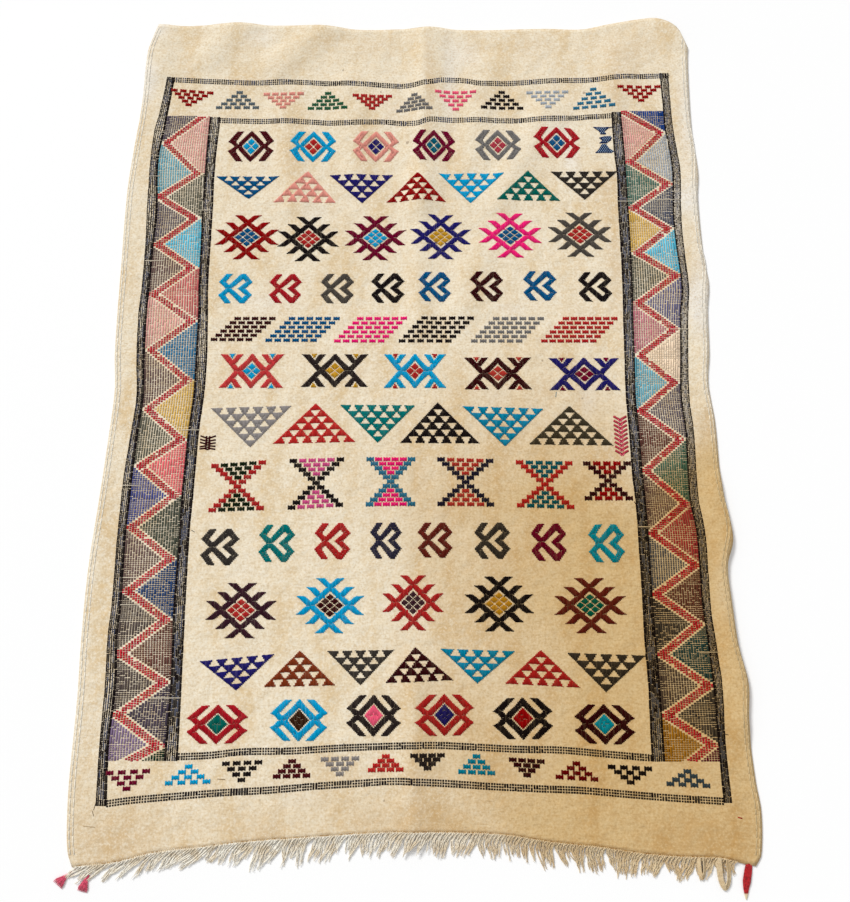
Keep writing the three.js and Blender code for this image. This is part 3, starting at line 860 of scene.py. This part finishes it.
for row in range(9):
    for side in (-1, 1):
        y = SPINE_TOP - row * 8.6
        outer_turn, inner_turn = side * math.radians(-60), side * math.radians(-34)
        marks.append(float_row(SPINE_X + side * 6.4, y - 3.2, 15.5, 4.6, "rose_red", outer_turn))
        marks.append(float_row(SPINE_X + side * 3.0, y - 6.6, 8.0, 3.4, "pink", inner_turn))
SPIDER_X = -397
for left_y, right_y, inner_y in [
    (-72, -72, -76), (-79, -80, -82), (-85, -86, -88), (-94, -93, -92), (-98, -99, -97),
]:
    for side, end_y in ((-1, left_y), (1, right_y)):
        slant = math.atan2(end_y - inner_y, 11)
        place = (SPIDER_X + side * 9.5, (end_y + inner_y) / 2)
        marks.append(float_row(*place, 12.5, 3.2, "maroon", side * (slant - math.radians(90))))
for k in range(6):
    for side in (-1, 1):
        turn = side * math.radians(12)
        marks.append(float_row(SPIDER_X + side * 3.1, -75 - k * 4.4, 5.4, 3.6, "maroon", turn))
        marks.append(float_row(SPIDER_X + side * 1.1, -77 - k * 4.4, 3.0, 2.4, "maroon"))
for x, y in [(-396, -74), (-396, -82), (-398, -94)]:
    marks.append(float_row(x, y, 2.4, 2.0, "cream"))
lay_floats("odd_marks", marks)

# Ends of yarn and soft specks left on the face: x, y, length, breadth, turn in degrees and dye or colour.
ends = []
for x, y, length, broad, turn, dye in [
    (-414, -258, 8, 1.2, 60, "charcoal"), (-554, -181, 7, 1.4, 90, "charcoal"),
    (-554, -207, 7, 1.4, 90, "charcoal"), (564, -622, 9, 1.2, 80, "charcoal"),
    (425, -487, 11, 1.6, 90, "black"), (285, 12, 12, 1.1, -8, "dull_blue"),
    (-334, -697, 15, 1.1, 86, (140, 118, 92)), (-553, -741, 14, 1.1, -12, (120, 104, 84)),
    (-555, -753, 10, 1.0, 22, (130, 112, 90)), (577, -760, 8, 2.2, 75, "red"),
    (-560, -774, 22, 0.9, 84, (186, 160, 122)), (-118, -640, 8, 1.2, 20, "black"),
    (428, -205, 9, 1.4, 30, "maroon"), (420, 560, 8, 1.2, 60, "navy"),
    (-70, 700, 3, 2.0, 0, (150, 118, 78)),
]:
    ends.append(float_row(x, y, length, broad, dye, math.radians(turn)))
lay_floats("yarn_ends", ends, height=1.0)


# Vertical borders
# Four upright bands frame the zigzags. Each has a solid black edge on either side, 2 to 5 mm broad, and broken
# dark yarns between, with cream ground showing between them as fine upright lines.
# At each height: the left and right edges of the outer left, inner left, inner right and outer right band.
BAND_EDGES = [
    (740, -537, -522, -438, -417, 431, 450, 541, 560), (640, -549, -531, -438, -416, 431, 450, 542, 560),
    (610, -555, -533, -439, -416, 430, 451, 542, 561), (550, -558, -541, -440, -419, 431, 452, 549, 566),
    (500, -558, -541, -440, -420, 434, 452, 551, 569), (410, -556, -534, -440, -418, 432, 452, 545, 563),
    (350, -553, -536, -438, -418, 432, 452, 546, 562), (240, -552, -537, -436, -417, 431, 450, 551, 566),
    (190, -554, -538, -433, -414, 429, 448, 544, 561), (90, -550, -535, -432, -409, 426, 445, 537, 553),
    (10, -543, -530, -431, -410, 424, 442, 531, 549), (-60, -547, -534, -436, -415, 426, 444, 535, 552),
    (-150, -554, -538, -439, -417, 427, 446, 533, 551), (-200, -555, -539, -440, -418, 430, 448, 533, 551),
    (-260, -556, -541, -439, -420, 431, 449, 541, 558), (-400, -555, -538, -440, -418, 431, 449, 541, 557),
    (-450, -557, -540, -438, -417, 430, 450, 545, 560), (-540, -554, -534, -435, -415, 432, 452, 549, 566),
    (-640, -554, -538, -437, -413, 430, 452, 550, 563), (-740, -551, -533, -437, -413, 432, 452, 551, 566),
]


def band_table(column):
    """One edge of a band as a table of height and place."""
    return [(row[0], row[column]) for row in reversed(BAND_EDGES)]


def across_band(edges, share, y):
    """The place of a yarn at a height, from its share of the way across a band."""
    return float(follow(edges[0], y)) * (1 - share) + float(follow(edges[1], y)) * share


def upright(floats, edges, share, low, high, width, dye):
    """A float that runs along a band, leaning with it."""
    foot = across_band(edges, share, low)
    head = across_band(edges, share, high)
    turn = -math.atan((head - foot) / (high - low))
    floats.append(float_row((foot + head) / 2, (low + high) / 2, high - low, width, dye, turn))


LADDER = 3.7
# Each band's column, ends, how much its two edges are moved, the breadths of its two black edges, the number
# of yarns between them, and how light it looks there at each height.
for name, column, low, high, moved, solid, yarns, lightness in [
    ("outer_left_band", 1, -741, 736, (-0.8, 0.8), (2.4, 5.4), 3,
     [(-741, 0.28), (-420, 0.34), (-140, 0.42), (140, 0.44), (280, 0.32), (736, 0.38)]),
    ("inner_left_band", 3, -667, 638, (-0.8, -0.4), (4.6, 4.0), 4,
     [(-667, 0.38), (-560, 0.12), (-420, 0.33), (-280, 0.3), (0, 0.3), (140, 0.53), (280, 0.41),
      (638, 0.45)]),
    ("inner_right_band", 5, -668, 650, (-1.5, 0.8), (4.2, 4.4), 4,
     [(-668, 0.14), (-560, 0.02), (-420, 0.18), (-140, 0.14), (0, 0.28), (280, 0.14), (420, 0.14),
      (650, 0.2)]),
    ("outer_right_band", 7, -736, 748, (-1.0, -0.6), (3.8, 2.6), 4,
     [(-736, 0.16), (-560, 0.1), (-420, 0.22), (-280, 0.08), (-140, 0.18), (0, 0.34), (420, 0.34),
      (560, 0.14), (748, 0.14)]),
]:
    table = band_table(column), band_table(column + 1)
    edges = [[(y, x + aside) for y, x in side] for side, aside in zip(table, moved)]
    band = []
    breadth = edges[1][0][1] - edges[0][0][1]
    for side in (0, 1):
        y = low
        while y < high:
            top = min(y + dice.uniform(8, 17), high)
            share = (solid[side] / 2 + dice.uniform(-0.25, 0.25)) / breadth
            broad = solid[side] * dice.uniform(0.92, 1.08)
            upright(band, edges, 1 - share if side else share, y, top, broad, "black")
            y = top + (0.4 if dice.random() < 0.3 else 0)
    room = (breadth - sum(solid)) / yarns
    # Between the edges run upright rows of dashes, 5 to 18 mm long, with ground between them.
    for k in range(yarns):
        share = (solid[0] + (k + 0.5) * room) / breadth
        y = low
        while y < high:
            light = float(follow(lightness, y)) * dice.uniform(0.75, 1.25)
            end = min(y + dice.uniform(5, 18), high)
            dye_name = dice.choice(["black", "charcoal", "band_grey", "band_grey"])
            upright(band, edges, share, y, end - 0.15, room * (1 - light), dye_name)
            y = end
    # Short rungs bridge the ground here and there.
    for k in range(yarns + 1):
        share = (solid[0] + k * room) / breadth
        y = low + LADDER * 0.5
        while y < high - LADDER:
            if dice.random() < 0.45:
                upright(band, edges, share, y - 0.7, y + 0.7, room * 0.7, "charcoal")
            y += LADDER
    lay_floats(name, band, height=0.9)


# Level borders
# Two level bands cross the rug near each end. Each is three rows of short black floats a few millimetres
# apart, which bow with the weft. Here and there a float spans two rows or all three.
LEVEL_BANDS = [
    ("outer_top_band", -538, 559, 4.5, [
        (-530, 731), (-495, 729), (-400, 724), (-335, 722.5), (-255, 724.5), (-175, 720), (-95, 718.5),
        (-15, 714), (40, 721.5), (65, 728), (110, 728), (145, 719), (225, 722), (305, 728.5),
        (385, 729.5), (465, 737), (558, 741),
    ]),
    ("inner_top_band", -417, 431, 4.5, [
        (-416, 629), (-310, 626), (-230, 625.5), (-150, 621), (-70, 625.5), (10, 619), (40, 628.5),
        (170, 628), (250, 628), (330, 633.5), (430, 641),
    ]),
    ("inner_bottom_band", -413, 431, 4.4, [
        (-410, -659.5), (-360, -657.5), (-300, -651.5), (-213, -650), (-133, -645.5), (-53, -642.5),
        (27, -640), (107, -643), (187, -647), (267, -648.5), (347, -655), (430, -662),
    ]),
    ("outer_bottom_band", -533, 552, 4.4, [
        (-533, -737), (-495, -732), (-425, -726), (-330, -719), (-250, -715), (-175, -709), (-95, -704),
        (-15, -700), (65, -704), (145, -709), (225, -712.5), (305, -715.5), (385, -722), (465, -728),
        (550, -733),
    ]),
]
for name, start, end, row_pitch, middle_line in LEVEL_BANDS:
    level = []
    x = start + 1.5
    manner = 3
    while x < end:
        y = float(follow(middle_line, x))
        if dice.random() < 0.5:
            manner = dice.choice([0, 1, 2, 3, 3, 3, 3, 3, 3])
        broad = dice.uniform(2.9, 3.7) if y > 0 else dice.uniform(3.2, 4.1)
        dyes = ["black", "charcoal", "band_grey"] if y > 0 else ["black", "black", "charcoal"]
        dye_name = dice.choice(dyes)
        dashes = [[(-1, 1)], [(-1, 0), (1, 1)], [(-1, -1), (0, 1)], [(-1, -1), (0, 0), (1, 1)]][manner]
        for first, last in dashes:
            middle = y + (first + last) / 2 * row_pitch
            tall = (abs(last - first) + 0.74) * row_pitch * dice.uniform(0.92, 1.1)
            level.append(float_row(x, middle, tall, broad, dye_name))
        if dice.random() < 0.6:
            level.append(float_row(x + 2.4, y + dice.choice([-1, 0, 0, 1]) * row_pitch, 1.5, 2.2, "grey"))
        x += dice.uniform(4.4, 5.0)
    lay_floats(name, level, height=0.9)


# Zigzag bands
# Down each side runs a red ribbon between cream lines, from border to border and back. The triangles that it
# leaves are filled with upright dyed yarns, ground showing between them and in broken level lines.
RIBBON_ROW = 3.9
RIBBON_HALF = 11.2
RIBBON_RED = 8.0
TIP_REACH = 9.5
ZIGZAG_COLUMNS = 20
# The dyes of the fillings, faded, since the yarns lie open to the light.
DYES.update({
    "faded_mauve": (105, 95, 105), "dark_mauve": (80, 70, 84), "pale_pink": (240, 174, 164),
    "pale_cyan": (116, 184, 202), "light_cyan": (104, 206, 234), "moss": (104, 102, 88),
    "dark_moss": (82, 86, 74), "brown_grey": (120, 95, 90), "dark_brown_grey": (92, 80, 76),
    "coral": (217, 114, 112), "salmon": (245, 112, 118), "faded_blue": (60, 126, 166),
    "pale_ochre": (232, 188, 95), "dark_ochre": (175, 126, 32), "faded_indigo": (82, 88, 148),
    "ink_blue": (50, 75, 118), "rust_brown": (110, 68, 60), "dusk_lilac": (142, 120, 152),
    "bottle_green": (26, 54, 38), "deep_blue": (30, 67, 137), "faded_green": (80, 118, 105),
    "faded_violet": (108, 105, 140), "faded_rose": (204, 122, 135), "pale_peach": (252, 225, 195),
    "brick": (175, 62, 67), "slate_grey": (92, 97, 114), "soot": (73, 68, 65), "dark_teal": (46, 79, 86),
    "plum_red": (103, 22, 54),
})
ZIGZAGS = [
    ("left_zigzag", 2, 3, 641, -667, [
        (-450, 643), (-538, 574), (-448, 501), (-541, 445), (-446, 396), (-537, 336), (-445, 284),
        (-536, 226), (-437, 167), (-533, 105), (-437, 42), (-529, -18), (-441, -79), (-535, -132),
        (-446, -190), (-540, -251), (-445, -310), (-537, -370), (-445, -422), (-541, -483), (-440, -533),
        (-536, -589), (-442, -641), (-532, -684),
    ], [
        ("faded_mauve", 0.8), ("pale_pink", 0.75), ("pale_cyan", 0.8), ("moss", 0.77),
        ("faded_mauve", 0.8), ("light_cyan", 0.85), ("brown_grey", 0.8), ("coral", 0.83),
        ("pale_pink", 0.8), ("faded_blue", 0.9), ("brown_grey", 0.75), ("pale_ochre", 0.75),
        ("moss", 0.75), ("salmon", 0.85), ("faded_indigo", 0.87), ("dark_moss", 0.9),
        ("brown_grey", 0.83), ("ink_blue", 0.93), ("dark_brown_grey", 0.88), ("rust_brown", 0.9),
        ("dark_brown_grey", 0.9), ("dark_mauve", 0.93), ("dusk_lilac", 0.88), ("bottle_green", 0.85),
    ]),
    ("right_zigzag", 6, 7, 653, -668, [
        (447, 656), (542, 598), (454, 528), (548, 476), (454, 420), (542, 372), (456, 317), (549, 267),
        (450, 206), (538, 150), (447, 94), (529, 37), (442, -22), (533, -79), (443, -141), (533, -206),
        (447, -262), (543, -322), (447, -376), (540, -430), (451, -484), (549, -539), (452, -590),
        (547, -640), (492, -672),
    ], [
        ("deep_blue", 0.85), ("pale_pink", 0.78), ("pale_grey", 0.75), ("faded_green", 0.87),
        ("band_grey", 0.85), ("pale_ochre", 0.78), ("light_cyan", 0.84), ("moss", 0.77),
        ("faded_violet", 0.74), ("faded_rose", 0.76), ("pale_peach", 0.85), ("pale_cyan", 0.8),
        ("faded_mauve", 0.72), ("rust_brown", 0.82), ("faded_green", 0.77), ("brown_grey", 0.75),
        ("brick", 0.83), ("slate_grey", 0.73), ("rust_brown", 0.88), ("soot", 0.93), ("dark_teal", 0.93),
        ("dark_brown_grey", 0.88), ("soot", 0.91), ("dark_ochre", 0.93), ("plum_red", 0.85),
    ]),
]
for name, left_column, right_column, top, bottom, tips, fills in ZIGZAGS:
    edges = (band_table(left_column), band_table(right_column))
    floats = []
    # The ribbon's middle line turns a little short of each tip.
    turns = [tips[0]]
    for (x0, y0), (x1, y1), (x2, y2) in zip(tips, tips[1:], tips[2:]):
        turns.append((x1 - math.copysign(TIP_REACH, x1 - (x0 + x2) / 2), y1))
    turns.append(tips[-1])
    rungs = [top - LADDER * k for k in range(int((top - bottom) / LADDER) + 2)]
    # For each triangle: how often its yarns are cut outside a zone and within it, the zone's place and reach.
    laddered = [(dice.uniform(0.2, 0.55), dice.uniform(0.8, 0.97), dice.random(), dice.uniform(0.3, 0.8))
                for number in range(len(turns) + 1)]
    for k in range(ZIGZAG_COLUMNS):
        share = (k + 0.5) / ZIGZAG_COLUMNS
        stops = [(top + RIBBON_HALF, RIBBON_HALF)]
        for (x1, y1), (x2, y2) in zip(turns, turns[1:]):
            y = (y1 + y2) / 2
            for attempt in range(3):
                part = (across_band(edges, share, y) - x1) / (x2 - x1)
                y = y1 + (y2 - y1) * min(max(part, 0), 1)
            past = max(-part, part - 1, 0) * abs(y2 - y1)
            stops.append((y, max(RIBBON_HALF - past, 1.0)))
            for row in (-1.5, -0.5, 0.5, 1.5):
                dash_y = y + row * RIBBON_ROW + dice.uniform(-0.3, 0.3)
                tall = min(dice.uniform(3.0, 3.8), 2 * (RIBBON_RED - past - abs(row) * RIBBON_ROW) + 3.6)
                if part > 1 or tall < 1.2 or not bottom + 1 < dash_y < top - 1 or dice.random() < 0.02:
                    continue
                dye_name = dice.choice(["bright_red", "crimson", "rose_red", "ribbon_red"])
                broad = dice.uniform(4.0, 4.8)
                upright(floats, edges, share, dash_y - tall / 2, dash_y + tall / 2, broad, dye_name)
        stops.append((bottom - RIBBON_HALF, RIBBON_HALF))
        for number, ((above, keep_above), (below, keep_below)) in enumerate(zip(stops, stops[1:])):
            high = min(above - keep_above, top)
            low = max(below + keep_below, bottom)
            if high - low < 1.2:
                continue
            seldom, often, zone, reach = laddered[number]
            fill, cover = fills[min(number, len(fills) - 1)]
            cuts = [low]
            for rung in reversed(rungs):
                place = (rung - bottom) / 60 % 1
                chance = often if abs(place - zone) < reach / 2 else seldom
                if low + 1.5 < rung < high - 1.5 and dice.random() < chance:
                    cuts.append(rung)
            cuts.append(high)
            # The yarns crowd together next to the borders.
            crowd = max(0, 1 - min(share, 1 - share) / 0.16)
            broad = 4.85 * min(cover * 0.97 + 0.2 * crowd, 0.98)
            deeper = tuple(c * (1 - 0.12 * crowd) for c in DYES[fill])
            for start, end in zip(cuts, cuts[1:]):
                wide = broad + dice.uniform(-0.35, 0.35)
                upright(floats, edges, share, start + 0.3, end - 0.3, wide, deeper)
    lay_floats(name, floats, height=0.7)

# Single slipped wefts show as bright level lines: height, left and right. A few warps show as upright ones:
# place, low and high.
slipped = []
for height, left, right in [
    (600, -551, -528), (594, -455, -416), (543, -558, -540), (495, -560, -535), (440, 500, 565),
    (436, 430, 470), (459, 545, 566), (415, -450, -418), (-60, -450, -414), (-170, -556, -520),
    (150, 520, 558), (-250, 430, 462), (-395, -540, -505), (-480, 528, 566), (-560, -470, -415),
    (300, -552, -510), (-345, -540, -470),
]:
    slipped.append(float_row((left + right) / 2, height, right - left, 1.7, "cream", math.radians(90)))
for x, low, high in [
    (-443.5, 470, 492), (-442, 440, 468), (-440.5, 416, 437), (-441, 384, 400), (545, 560, 584),
]:
    slipped.append(float_row(x, (low + high) / 2, high - low, 2.0, "cream"))
lay_floats("slipped_wefts", slipped, height=2.0)


# Selvedge cords
# Two thicker warps run inside each selvedge and show as broken lines, hardly raised.
cords = []
for edge, sides in ((LEFT_EDGE, (4.2, 10.6)), (RIGHT_EDGE, (-3.8, -9.8))):
    for inset in sides:
        y = -820.0
        while y < 850:
            length = dice.uniform(9, 18)
            x = float(follow(edge, y)) + inset
            ahead = float(follow(edge, y + length)) + inset
            turn = -math.atan((ahead - x) / length)
            if y < float(follow(UPPER_EDGE, x)) - 12 and y > float(follow(LOWER_EDGE, x)) + 6:
                cords.append(float_row((x + ahead) / 2, y + length / 2, length, 2.6, "bright_cream", turn))
            y += length + dice.uniform(0.1, 0.8)
lay_floats("selvedge_cords", cords, height=0.42)


# Warp fringe
# The warps are left 30 to 60 mm long at the lower end. A twined row locks them, and from it they hang in
# locks of three to nine, each warp of two plies, combed to the left at the left corner and straight at the
# right. At each place: the lean in degrees and the length.
FRINGE_LAY = [
    (-575, -60, 36), (-541, -56, 50), (-500, -52, 56), (-440, -46, 58), (-350, -40, 48), (-278, -34, 50),
    (-100, -24, 44), (26, -18, 42), (155, -8, 42), (258, 6, 42), (330, 16, 42), (404, -8, 42),
    (500, 0, 36), (560, -6, 28),
]
FRINGE_START = -576.0
FRINGE_END = 556
STRAND_PITCH = 2.7
STRAND_STEPS = 9
lean_table = [(x, lean) for x, lean, length in FRINGE_LAY]
length_table = [(x, length) for x, lean, length in FRINGE_LAY]
strands = bpy.data.curves.new("warp_fringe_strands", "CURVE")
strands.dimensions = "3D"
strands.bevel_depth = 1.0
strands.bevel_resolution = 0
strands.resolution_u = 2
strands.use_fill_caps = True


def strand(path, radii):
    """One strand as a smooth line through its points, in millimetres, with its radius at each."""
    line = strands.splines.new("POLY")
    line.points.add(len(path) - 1)
    for point, place, radius in zip(line.points, path, radii):
        point.co = (place[0] * MM, place[1] * MM, place[2] * MM, 1)
        point.radius = radius * MM


x = FRINGE_START
while x < FRINGE_END:
    # The warps of a lock draw in towards its tip.
    members = dice.randint(3, 6) if x < 250 else dice.randint(4, 9)
    lock_middle = x + (members - 1) * STRAND_PITCH / 2
    lean = math.radians(float(follow(lean_table, lock_middle)) + dice.gauss(0, 8))
    length = float(follow(length_table, lock_middle)) * dice.uniform(0.8, 1.12)
    if dice.random() < 0.08:
        length *= 1.25
    curl = dice.uniform(-5.5, 5.5)
    drawn_in = dice.uniform(0.45, 0.9)
    for member in range(members):
        root_x = x + member * STRAND_PITCH + dice.uniform(-0.4, 0.4)
        root_y = float(follow(LOWER_EDGE, root_x))
        reach = length * dice.uniform(0.72, 1.06)
        stray = dice.gauss(0, 2.2)
        for ply_number in range(2):
            path = []
            radii = []
            at_x, at_y = root_x + ply_number * 0.9, root_y + 1.5
            for k in range(STRAND_STEPS + 1):
                t = k / STRAND_STEPS
                blend = min(t * 2.4, 1)
                angle = math.radians(-50) * (1 - blend) + lean * blend
                if k:
                    at_x += math.sin(angle) * reach / STRAND_STEPS
                    at_y -= math.cos(angle) * reach / STRAND_STEPS
                gather = (lock_middle - root_x) * (1 - drawn_in) * t * t
                ripple = math.sin(t * 9 + member * 2) * 0.5
                sway = math.sin(t * math.pi * 1.6) * curl * t + stray * t * t + ripple
                twist = math.sin(t * 14 + ply_number * math.pi + member)
                z = 3.4 * (1 - min(t * 3, 1)) + 1.5 + 0.7 * twist + (member % 2) * 1.1
                path.append((at_x + gather + sway + 0.7 * twist, at_y, z + float(lift(at_x, at_y))))
                radii.append((0.85 if t < 0.75 else 0.85 - (t - 0.75) * 2.2) * dice.uniform(0.85, 1.1))
            strand(path, radii)
    x += members * STRAND_PITCH

# Two uncut bundles of warp loop back near the right corner: each one's two sides and its lowest point.
for left, right, low in [(496, 510, -858), (529, 553, -874)]:
    for ply_number in range(5):
        path = []
        for k in range(15):
            angle = math.pi * (k / 14 - 0.5)
            middle = (left + right) / 2
            x = middle + (right - left) / 2 * math.sin(angle) * (1 - 0.15 * ply_number)
            top = float(follow(LOWER_EDGE, x)) + 1
            y = top + (low + ply_number * 2.1 - top) * math.cos(angle) ** 0.7
            z = 3.2 + ply_number * 0.9 + 0.5 * math.sin(k * 1.3)
            path.append((x, y, z + float(lift(x, y))))
        strand(path, [1.1] * len(path))
fringe_mesh = finished_mesh(bpy.data.objects.new("warp_fringe_draft", strands), "warp_fringe_strands")

warp_wool, surface, add = shader("warp_wool", 0.9, 0.3)
place = add("TexCoord").outputs["Object"]
tone = mix(add, graded(add, speckle(add, place, 40.0, detail=3.0), 0.35, 0.7), paint(250, 245, 232),
           paint(236, 222, 196))
# Dark tan flecks are painted shade, standing in for the shadow between the strands.
tone = mix(add, graded(add, speckle(add, place, 260.0, detail=2.0), 0.45, 0.75, 0.0, 0.5), tone,
           paint(186, 160, 122))
# The fringe takes most of the lower right's warm brown: partly painted shade, partly age.
tone = mix(add, 0.85, tone, brown_and_shade(add, place, tone, 0.0))
warp_wool.node_tree.links.new(tone, surface.inputs["Base Color"])
twist = add("TexWave", {"wave_type": "BANDS", "bands_direction": "DIAGONAL"}, Vector=place, Scale=260.0,
            Distortion=3.0)
ridges = add("Bump", Strength=0.6, Distance=0.0005, Height=twist.outputs["Fac"])
warp_wool.node_tree.links.new(ridges.outputs[0], surface.inputs["Normal"])
warp_fringe = new_piece("warp_fringe_strands", fringe_mesh, warp_wool)
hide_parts("warp_fringe")

twining = []
x = FRINGE_START + 4
while x < FRINGE_END:
    y = float(follow(LOWER_EDGE, x))
    slope = (float(follow(LOWER_EDGE, x + 3)) - float(follow(LOWER_EDGE, x - 3))) / 6
    knot = dice.choice(["cream", "cream", "cream", "tan", "dark_tan"])
    twining.append(float_row(x, y + 0.6, 6.0, 2.5, knot, math.radians(-52) + math.atan(slope)))
    x += 3.4
lay_floats("twined_row", twining, height=2.0)


# Corner tassels
# Scraps of the brocading wool are tied into the two lower corners: a red tuft at the right with a cream tip,
# and two pink fans at the left.
TASSEL_RED = (186, 34, 40)
TASSEL_PINK = (228, 88, 116)


def tassel(name, node, sections, dye, yarns, pale_below=-1.0):
    """Yarns side by side that follow a tassel's sections from its root to its tip, which may be pale."""
    strands.splines.clear()
    for k in range(yarns):
        side = (k + 0.5) / yarns * 2 - 1
        wobble = dice.uniform(-0.8, 0.8)
        path = []
        radii = []
        for i, (x, y, wide, tall) in enumerate(sections):
            before = sections[max(i - 1, 0)]
            after = sections[min(i + 1, len(sections) - 1)]
            run = math.hypot(after[0] - before[0], after[1] - before[1])
            across = (-(after[1] - before[1]) / run, (after[0] - before[0]) / run)
            aside = side * (wide / 2 - 0.8) + wobble * 0.4 * i / len(sections)
            z = 1.1 + (tall - 2.4) * (0.5 + 0.5 * math.cos(side * 1.5)) * dice.uniform(0.7, 1.0)
            path.append((x + across[0] * aside, y + across[1] * aside, max(z, 1.1)))
            radii.append(dice.uniform(0.9, 1.2))
        radii[-1] = 0.5
        strand(path, radii)
    made = finished_mesh(bpy.data.objects.new(name + "_draft", strands), name)
    material, surface, add = shader(name + "_wool", 0.88, 0.3)
    place = add("TexCoord").outputs["Object"]
    base = paint(*dye)
    dark = (*(c * 0.5 for c in linear(*dye)), 1)
    tone = mix(add, graded(add, speckle(add, place, 300.0, detail=3.0), 0.35, 0.7), base, dark)
    height = add("SeparateXYZ", Vector=place).outputs[1]
    pale = graded(add, height, pale_below + 0.002, pale_below - 0.002)
    tone = mix(add, pale, tone, paint(226, 208, 172))
    material.node_tree.links.new(tone, surface.inputs["Base Color"])
    fibre = speckle(add, place, 700.0, detail=2.0)
    material.node_tree.links.new(add("Bump", Strength=0.5, Distance=0.0004, Height=fibre).outputs[0],
                                 surface.inputs["Normal"])
    piece = new_piece(name, made, material)
    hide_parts(node)


tassel("right_red_tuft", "right_corner_tassel", [
    (586, -833, 12, 4), (583, -845, 14, 5), (579, -861, 15, 6), (577, -871, 11, 5), (576.5, -880, 7, 4),
    (576, -889, 3, 3)], TASSEL_RED, 9, -0.880)
tassel("left_pink_fan", "left_corner_tassel", [
    (-574, -841, 6, 3), (-583, -847, 4, 3), (-591, -852, 5, 3), (-597, -857, 11, 5), (-602, -862, 19, 5),
    (-606, -867, 22, 3)], TASSEL_PINK, 9)
tassel("lower_pink_fan", "left_fringe_tassel", [
    (-553, -851, 3, 3), (-556.5, -857, 5, 4), (-559, -864, 12, 5), (-561, -871, 18, 5),
    (-562.5, -877, 19, 3)], TASSEL_PINK, 9)

bpy.data.objects.remove(yarn_pattern)


# Studio
# A pale floor, an even pale sky and one broad soft light from the upper left.
ground_grid = bmesh.new()
bmesh.ops.create_grid(ground_grid, x_segments=1, y_segments=1, size=6)
floor_mesh = bpy.data.meshes.new("floor")
ground_grid.to_mesh(floor_mesh)
ground_grid.free()
floor = bpy.data.objects.new("floor", floor_mesh)
bpy.context.scene.collection.objects.link(floor)
floor_paint, surface, add = shader("floor_paint", 0.7, 0.0)
surface.inputs["Base Color"].default_value = (0.97, 0.97, 0.97, 1)
floor_mesh.materials.append(floor_paint)

sky = bpy.data.worlds.new("sky")
sky.use_nodes = True
sky.node_tree.nodes["Background"].inputs["Color"].default_value = (1, 1, 1, 1)
sky.node_tree.nodes["Background"].inputs["Strength"].default_value = 0.55
bpy.context.scene.world = sky
soft_sun = bpy.data.lights.new("soft_sun", "SUN")
soft_sun.energy = 2.55
soft_sun.angle = math.radians(18)
sun = bpy.data.objects.new("soft_sun", soft_sun)
sun.rotation_euler = (math.radians(-38), math.radians(-42), 0)
bpy.context.scene.collection.objects.link(sun)
bpy.context.scene.view_settings.view_transform = "Standard"
